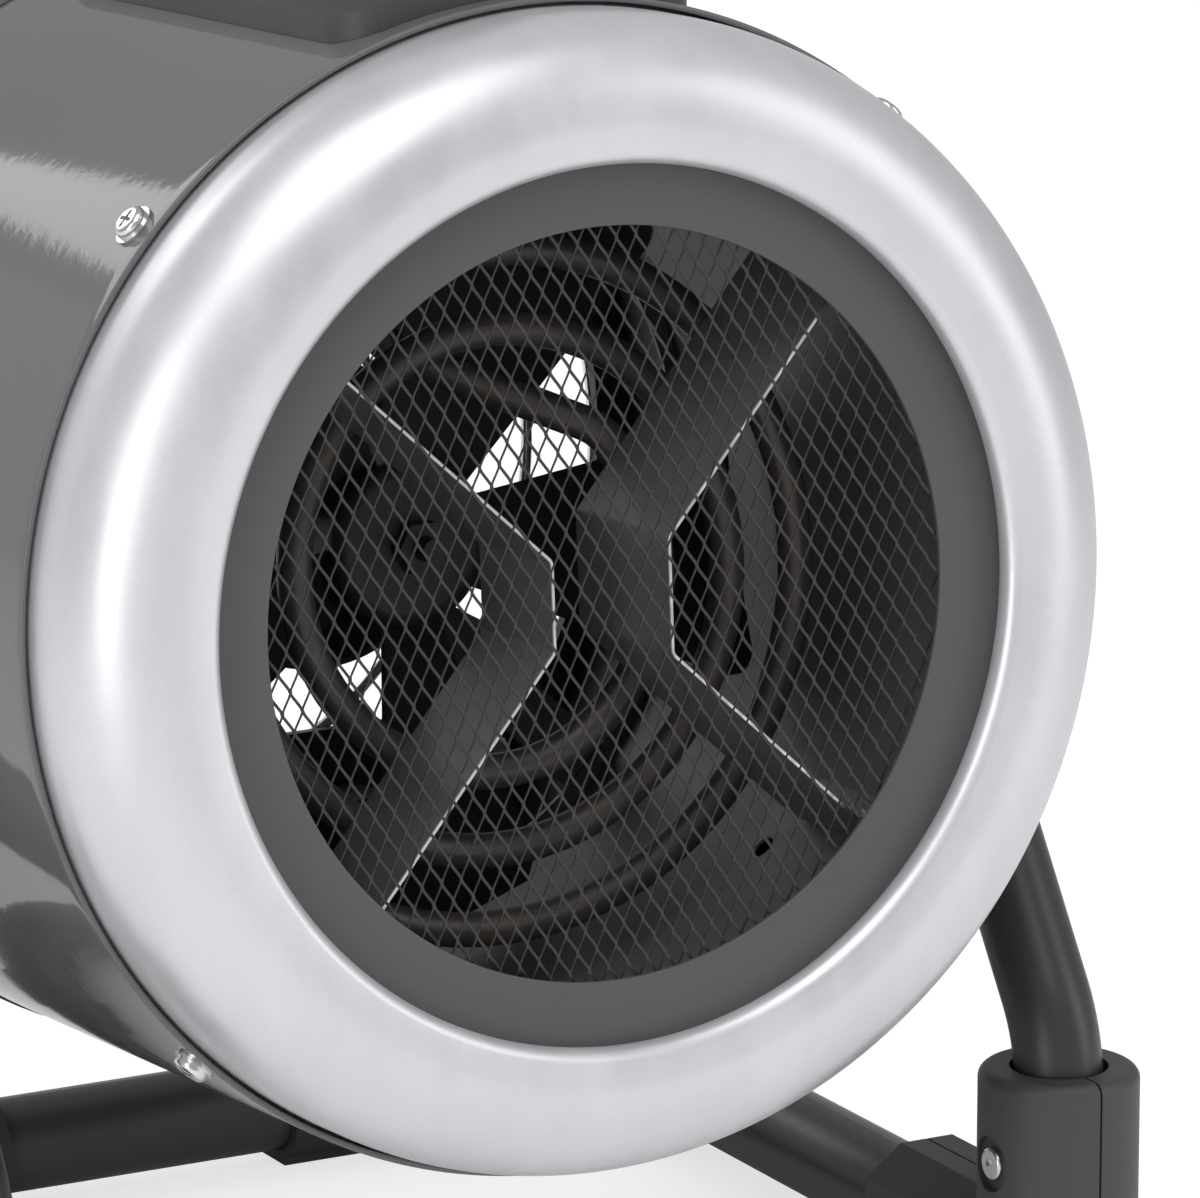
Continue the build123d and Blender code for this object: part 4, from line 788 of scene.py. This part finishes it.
class HEATER_OT_element(bpy.types.Operator):
    """Spiral heating element with its leads"""

    bl_idname = "heater.element"
    bl_label = "Heating element"

    def execute(self, context):
        sizes = context.scene.heater_head
        depth = sizes.strip_rear + sizes.element_gap + sizes.element_radius
        first_radius = 43.45 * MM
        lead_run = 14 * MM
        bends = [13 * MM, 13 * MM]
        knee = (-16 * MM, depth + 21 * MM, 52 * MM)
        lead_end = 110 * MM
        outer_knee = 84 * MM
        inner_angle = 112.0
        outer_angle = -131.0
        spiral = spiral_points(sizes.element_pitch, first_radius, depth, start=32.0, end=-838.0)
        inner_start = spiral[0] + unit(spiral[0] - spiral[1]) * lead_run
        inner = smooth_path([spiral[0], inner_start, knee, self.terminal(lead_end, inner_angle)], bends)
        outer_start = spiral[-1] + unit(spiral[-1] - spiral[-2]) * lead_run
        outer_terminals = [self.terminal(radius, outer_angle) for radius in (outer_knee, lead_end)]
        outer = smooth_path([spiral[-1], outer_start, *outer_terminals], bends)
        path = np.vstack([inner[::-1][:-1], spiral, outer[1:]])
        points = head(tube_points(path, sizes.element_radius, (0, 1, 0), sides=28))
        tube = Surface().grid(points, wrap_v=True)
        tube.cap_ends(points)
        tube.build("heating_element_tube", "head", "element_sheath", ["heating_element"], crease=50)
        return {"FINISHED"}

    def terminal(self, radius, angle):
        """Point on the element's way out through the liner, at a radius and an angle in degrees."""
        depth = 82 * MM
        x, z = around(radius, math.radians(angle))
        return np.array([x, depth, z])


class HEATER_OT_fan(bpy.types.Operator):
    """Fan wheel with cambered blades"""

    bl_idname = "heater.fan"
    bl_label = "Fan wheel"

    def execute(self, context):
        sizes = context.scene.heater_head
        half_depth = 12 * MM
        front = sizes.fan_depth - half_depth
        rear = sizes.fan_depth + half_depth
        hub = sizes.fan_hub
        bore = 3.05 * MM
        nose = 5 * MM
        wall = 1.5 * MM
        inner_nose = 6 * MM
        outline = [
            [(bore, front), (hub - nose, front)],
            arc((hub - nose, front + nose), nose, -85, 0, 8),
            [(hub, rear), (hub - wall, rear), (hub - wall, front + inner_nose)],
            [(hub - inner_nose, front + wall), (bore, front + wall)],
        ]
        wheel = Surface().grid(head(turned(np.vstack(outline), 96)), wrap_u=True, wrap_v=True)
        blade = self.blade(sizes)
        blades = 5
        first_angle = 63
        for index in range(blades):
            angle = math.radians(first_angle + index * 360.0 / blades)
            wheel.grid(head(spun(blade, angle)), wrap_v=True)
        wheel.build("fan_wheel_shell", "fan", "fan_metal", ["fan_wheel"])
        return {"FINISHED"}

    def blade(self, sizes):
        """Blade surface: radius along one parameter, chord along the other, pitched by an angle
        that eases towards the tip and cambered by a parabola, with a thin closed section. The
        chord widens evenly from the root and narrows over the last tenth. Its place out from the
        hub is the root of radius squared less a part of z squared, which draws its sides in."""
        root_in_hub = 2 * MM
        root_chord = 11 * MM
        tip_chord = sizes.fan_radius * math.sin(math.radians(20))
        tip_start = 0.9
        tip_narrowing = 0.35
        root_pitch = 31
        pitch_loss = 5
        full_camber = 3.0 * MM
        root_camber = 0.4
        half_sheet = 0.6 * MM
        side_draw = 0.35
        span = np.linspace(sizes.fan_hub - root_in_hub, sizes.fan_radius, 22)
        along = ((span - span[0]) / (span[-1] - span[0]))[:, None]
        chord = np.linspace(-1, 1, 15)[None, :]
        in_tip = np.clip((along - tip_start) / (1 - tip_start), 0, 1)
        half_chord = root_chord + (tip_chord - root_chord) * along
        half_chord = half_chord * np.sqrt(1 - in_tip**2 * tip_narrowing)
        pitch = np.radians(root_pitch - pitch_loss * along)
        camber = (1 - chord**2) * full_camber * (root_camber + (1 - root_camber) * along)
        layers = []
        for offset in (-half_sheet, half_sheet):
            across = chord * half_chord
            lift = camber + offset
            z = across * np.cos(pitch) - lift * np.sin(pitch)
            y = across * np.sin(pitch) + lift * np.cos(pitch)
            radial = np.sqrt(np.maximum(span[:, None] ** 2 - z**2 * side_draw, 0))
            layers.append(np.stack([radial, sizes.fan_depth + y, z], axis=-1))
        return np.concatenate([layers[0], layers[1][:, ::-1]], axis=1)


class HEATER_OT_finish_rest(bpy.types.Operator):
    """Finishes of the pieces that keep their own shape"""

    bl_idname = "heater.finish_rest"
    bl_label = "Other pieces"

    def execute(self, context):
        # The middle of the fan is all dark in the photograph
        own_finish = {"fan_nut": "fan_metal", "motor_shaft": "motor_metal"}
        for node, piece in frame["nodes"].items():
            piece.data.materials.clear()
            piece.data.materials.append(finishes[own_finish.get(node, record_slots[node])])
        return {"FINISHED"}


def camera_view():
    """Right, up and forward directions of the photograph's view."""
    azimuth = math.radians(-28.67)
    elevation = math.radians(14.2)
    right = Vector((math.cos(azimuth), math.sin(azimuth), 0.0))
    forward = Vector(
        (
            -math.sin(azimuth) * math.cos(elevation),
            math.cos(azimuth) * math.cos(elevation),
            -math.sin(elevation),
        )
    )
    return right, right.cross(forward), forward


class HEATER_OT_stage(bpy.types.Operator):
    """Camera, lamps, background and floor"""

    bl_idname = "heater.stage"
    bl_label = "Stage"

    def execute(self, context):
        self.camera(context)
        self.world(context)
        self.floor()
        self.lamps(context)
        context.scene.view_settings.view_transform = "Standard"
        return {"FINISHED"}

    def camera(self, context):
        """Camera at the photograph's place, aimed just beside the middle of the bezel's face."""
        distance = 2.0505
        beside_middle = Vector((-2.97 * MM, 0.0, 2.02 * MM))
        right, up, forward = camera_view()
        aim = Vector(head(np.zeros(3))) + beside_middle
        data = bpy.data.cameras.new("photo_camera")
        data.lens = 267.0
        data.sensor_width = 36.0
        data.clip_start = 0.1
        data.clip_end = 20.0
        camera = bpy.data.objects.new("photo_camera", data)
        facing = Matrix((right, up, -forward)).transposed().to_4x4()
        camera.matrix_world = Matrix.Translation(aim - forward * distance) @ facing
        context.scene.collection.objects.link(camera)
        context.scene.camera = camera

    def world(self, context):
        """White background: given is its strength as light, and seen its strength in reflections,
        through glass and to the camera."""
        given = 0.62
        seen = {"Is Glossy Ray": 0.42, "Is Transmission Ray": 1.0, "Is Camera Ray": 1.0}
        world = bpy.data.worlds.new("studio")
        context.scene.world = world
        tree = Tree(world, "ShaderNodeOutputWorld")
        shader = self.backdrop(tree, given)
        for ray, strength in seen.items():
            is_ray = tree.add("ShaderNodeLightPath", {}, {}, ray)
            inputs = {0: is_ray, 1: shader, 2: self.backdrop(tree, strength)}
            shader = tree.add("ShaderNodeMixShader", {}, inputs)
        tree.show(shader)

    def backdrop(self, tree, strength):
        """White background of one strength."""
        return tree.add("ShaderNodeBackground", {}, {"Color": (1, 1, 1, 1), "Strength": strength})

    def floor(self):
        """Wide floor that curves up behind as a quarter circle: width along one parameter, depth
        along the other."""
        front = -3
        back = 2.5
        sweep = 1.5
        half_width = 4
        below_feet = 0.2 * MM
        turn = np.radians(np.linspace(8, 90, 10))
        flat = np.linspace(front, back, 12)
        depth = np.concatenate([flat, back + sweep * np.sin(turn)])
        rise = np.concatenate([np.zeros(len(flat)), sweep * (1 - np.cos(turn))])
        width = np.linspace(-half_width, half_width, 9)
        x, y = np.meshgrid(width, depth, indexing="ij")
        z = np.broadcast_to(rise - below_feet, x.shape)
        tree = Tree(bpy.data.materials.new("studio_floor"))
        camera_ray = tree.add("ShaderNodeLightPath", {}, {}, "Is Camera Ray")
        soft = tree.add("ShaderNodeBsdfDiffuse", {}, {"Color": (0.92, 0.92, 0.92, 1.0)})
        glow = tree.add("ShaderNodeEmission", {}, {"Color": (1, 1, 1, 1), "Strength": 1.35})
        tree.show(tree.add("ShaderNodeMixShader", {}, {0: camera_ray * 0.5, 1: soft, 2: glow}))
        floor = Surface().grid(np.stack([x, y, z], axis=-1)).make("floor", [tree.owner])
        floor.data.shade_smooth()

    def lamps(self, context):
        """Soft boxes, each with its place from the outlet's middle and its size, in metres, and its
        power in watts: a large one above and in front, one at each side and one behind."""
        outlet_depth = 60 * MM
        centre = Vector(head(np.array([0.0, outlet_depth, 0.0])))
        boxes = (
            ("top_box", (-0.3, -0.7, 1.6), (1.4, 1.4), 14.0),
            ("left_box", (-1.7, -0.9, 0.5), (0.7, 1.6), 12.0),
            ("right_box", (1.5, -1.2, 0.6), (0.7, 1.6), 7.0),
            ("rear_box", (-0.65, 1.8, 1.12), (0.8, 0.8), 4.6),
        )
        for name, offset, (width, height), power in boxes:
            data = bpy.data.lights.new(name, "AREA")
            data.shape = "RECTANGLE"
            data.size = width
            data.size_y = height
            data.energy = power
            lamp = bpy.data.objects.new(name, data)
            lamp.location = centre + Vector(offset)
            lamp.rotation_euler = (centre - lamp.location).to_track_quat("-Z", "Y").to_euler()
            context.scene.collection.objects.link(lamp)


class HEATER_PT_panel(bpy.types.Panel):
    """Buttons for every group of pieces, and their sizes and colours"""

    bl_idname = "HEATER_PT_panel"
    bl_label = "Garage heater"
    bl_space_type = "VIEW_3D"
    bl_region_type = "UI"
    bl_category = "Heater"

    def draw(self, context):
        for operator in operators:
            self.layout.operator(operator.bl_idname)
        for group in (context.scene.heater_head, context.scene.heater_colours):
            for name in group.bl_rna.properties.keys():
                if name not in ("name", "rna_type"):
                    self.layout.prop(group, name)


operators = (
    HEATER_OT_finish_rest,
    HEATER_OT_front_ring,
    HEATER_OT_casing,
    HEATER_OT_bezel,
    HEATER_OT_mesh,
    HEATER_OT_strips,
    HEATER_OT_element,
    HEATER_OT_fan,
    HEATER_OT_stage,
)
classes = (HeadSizes, FinishColours, *operators, HEATER_PT_panel)


def register():
    """Adds the sizes, colours, tools and panel."""
    for group in classes:
        bpy.utils.register_class(group)
    bpy.types.Scene.heater_head = bpy.props.PointerProperty(type=HeadSizes)
    bpy.types.Scene.heater_colours = bpy.props.PointerProperty(type=FinishColours)


def unregister():
    """Takes the sizes, colours, tools and panel out again."""
    del bpy.types.Scene.heater_head
    del bpy.types.Scene.heater_colours
    for group in reversed(classes):
        bpy.utils.unregister_class(group)


def main():
    """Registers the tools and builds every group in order."""
    register()
    make_finishes(bpy.context.scene.heater_colours)
    for operator in operators:
        group, action = operator.bl_idname.split(".")
        getattr(getattr(bpy.ops, group), action)()


if __name__ == "__main__":
    main()
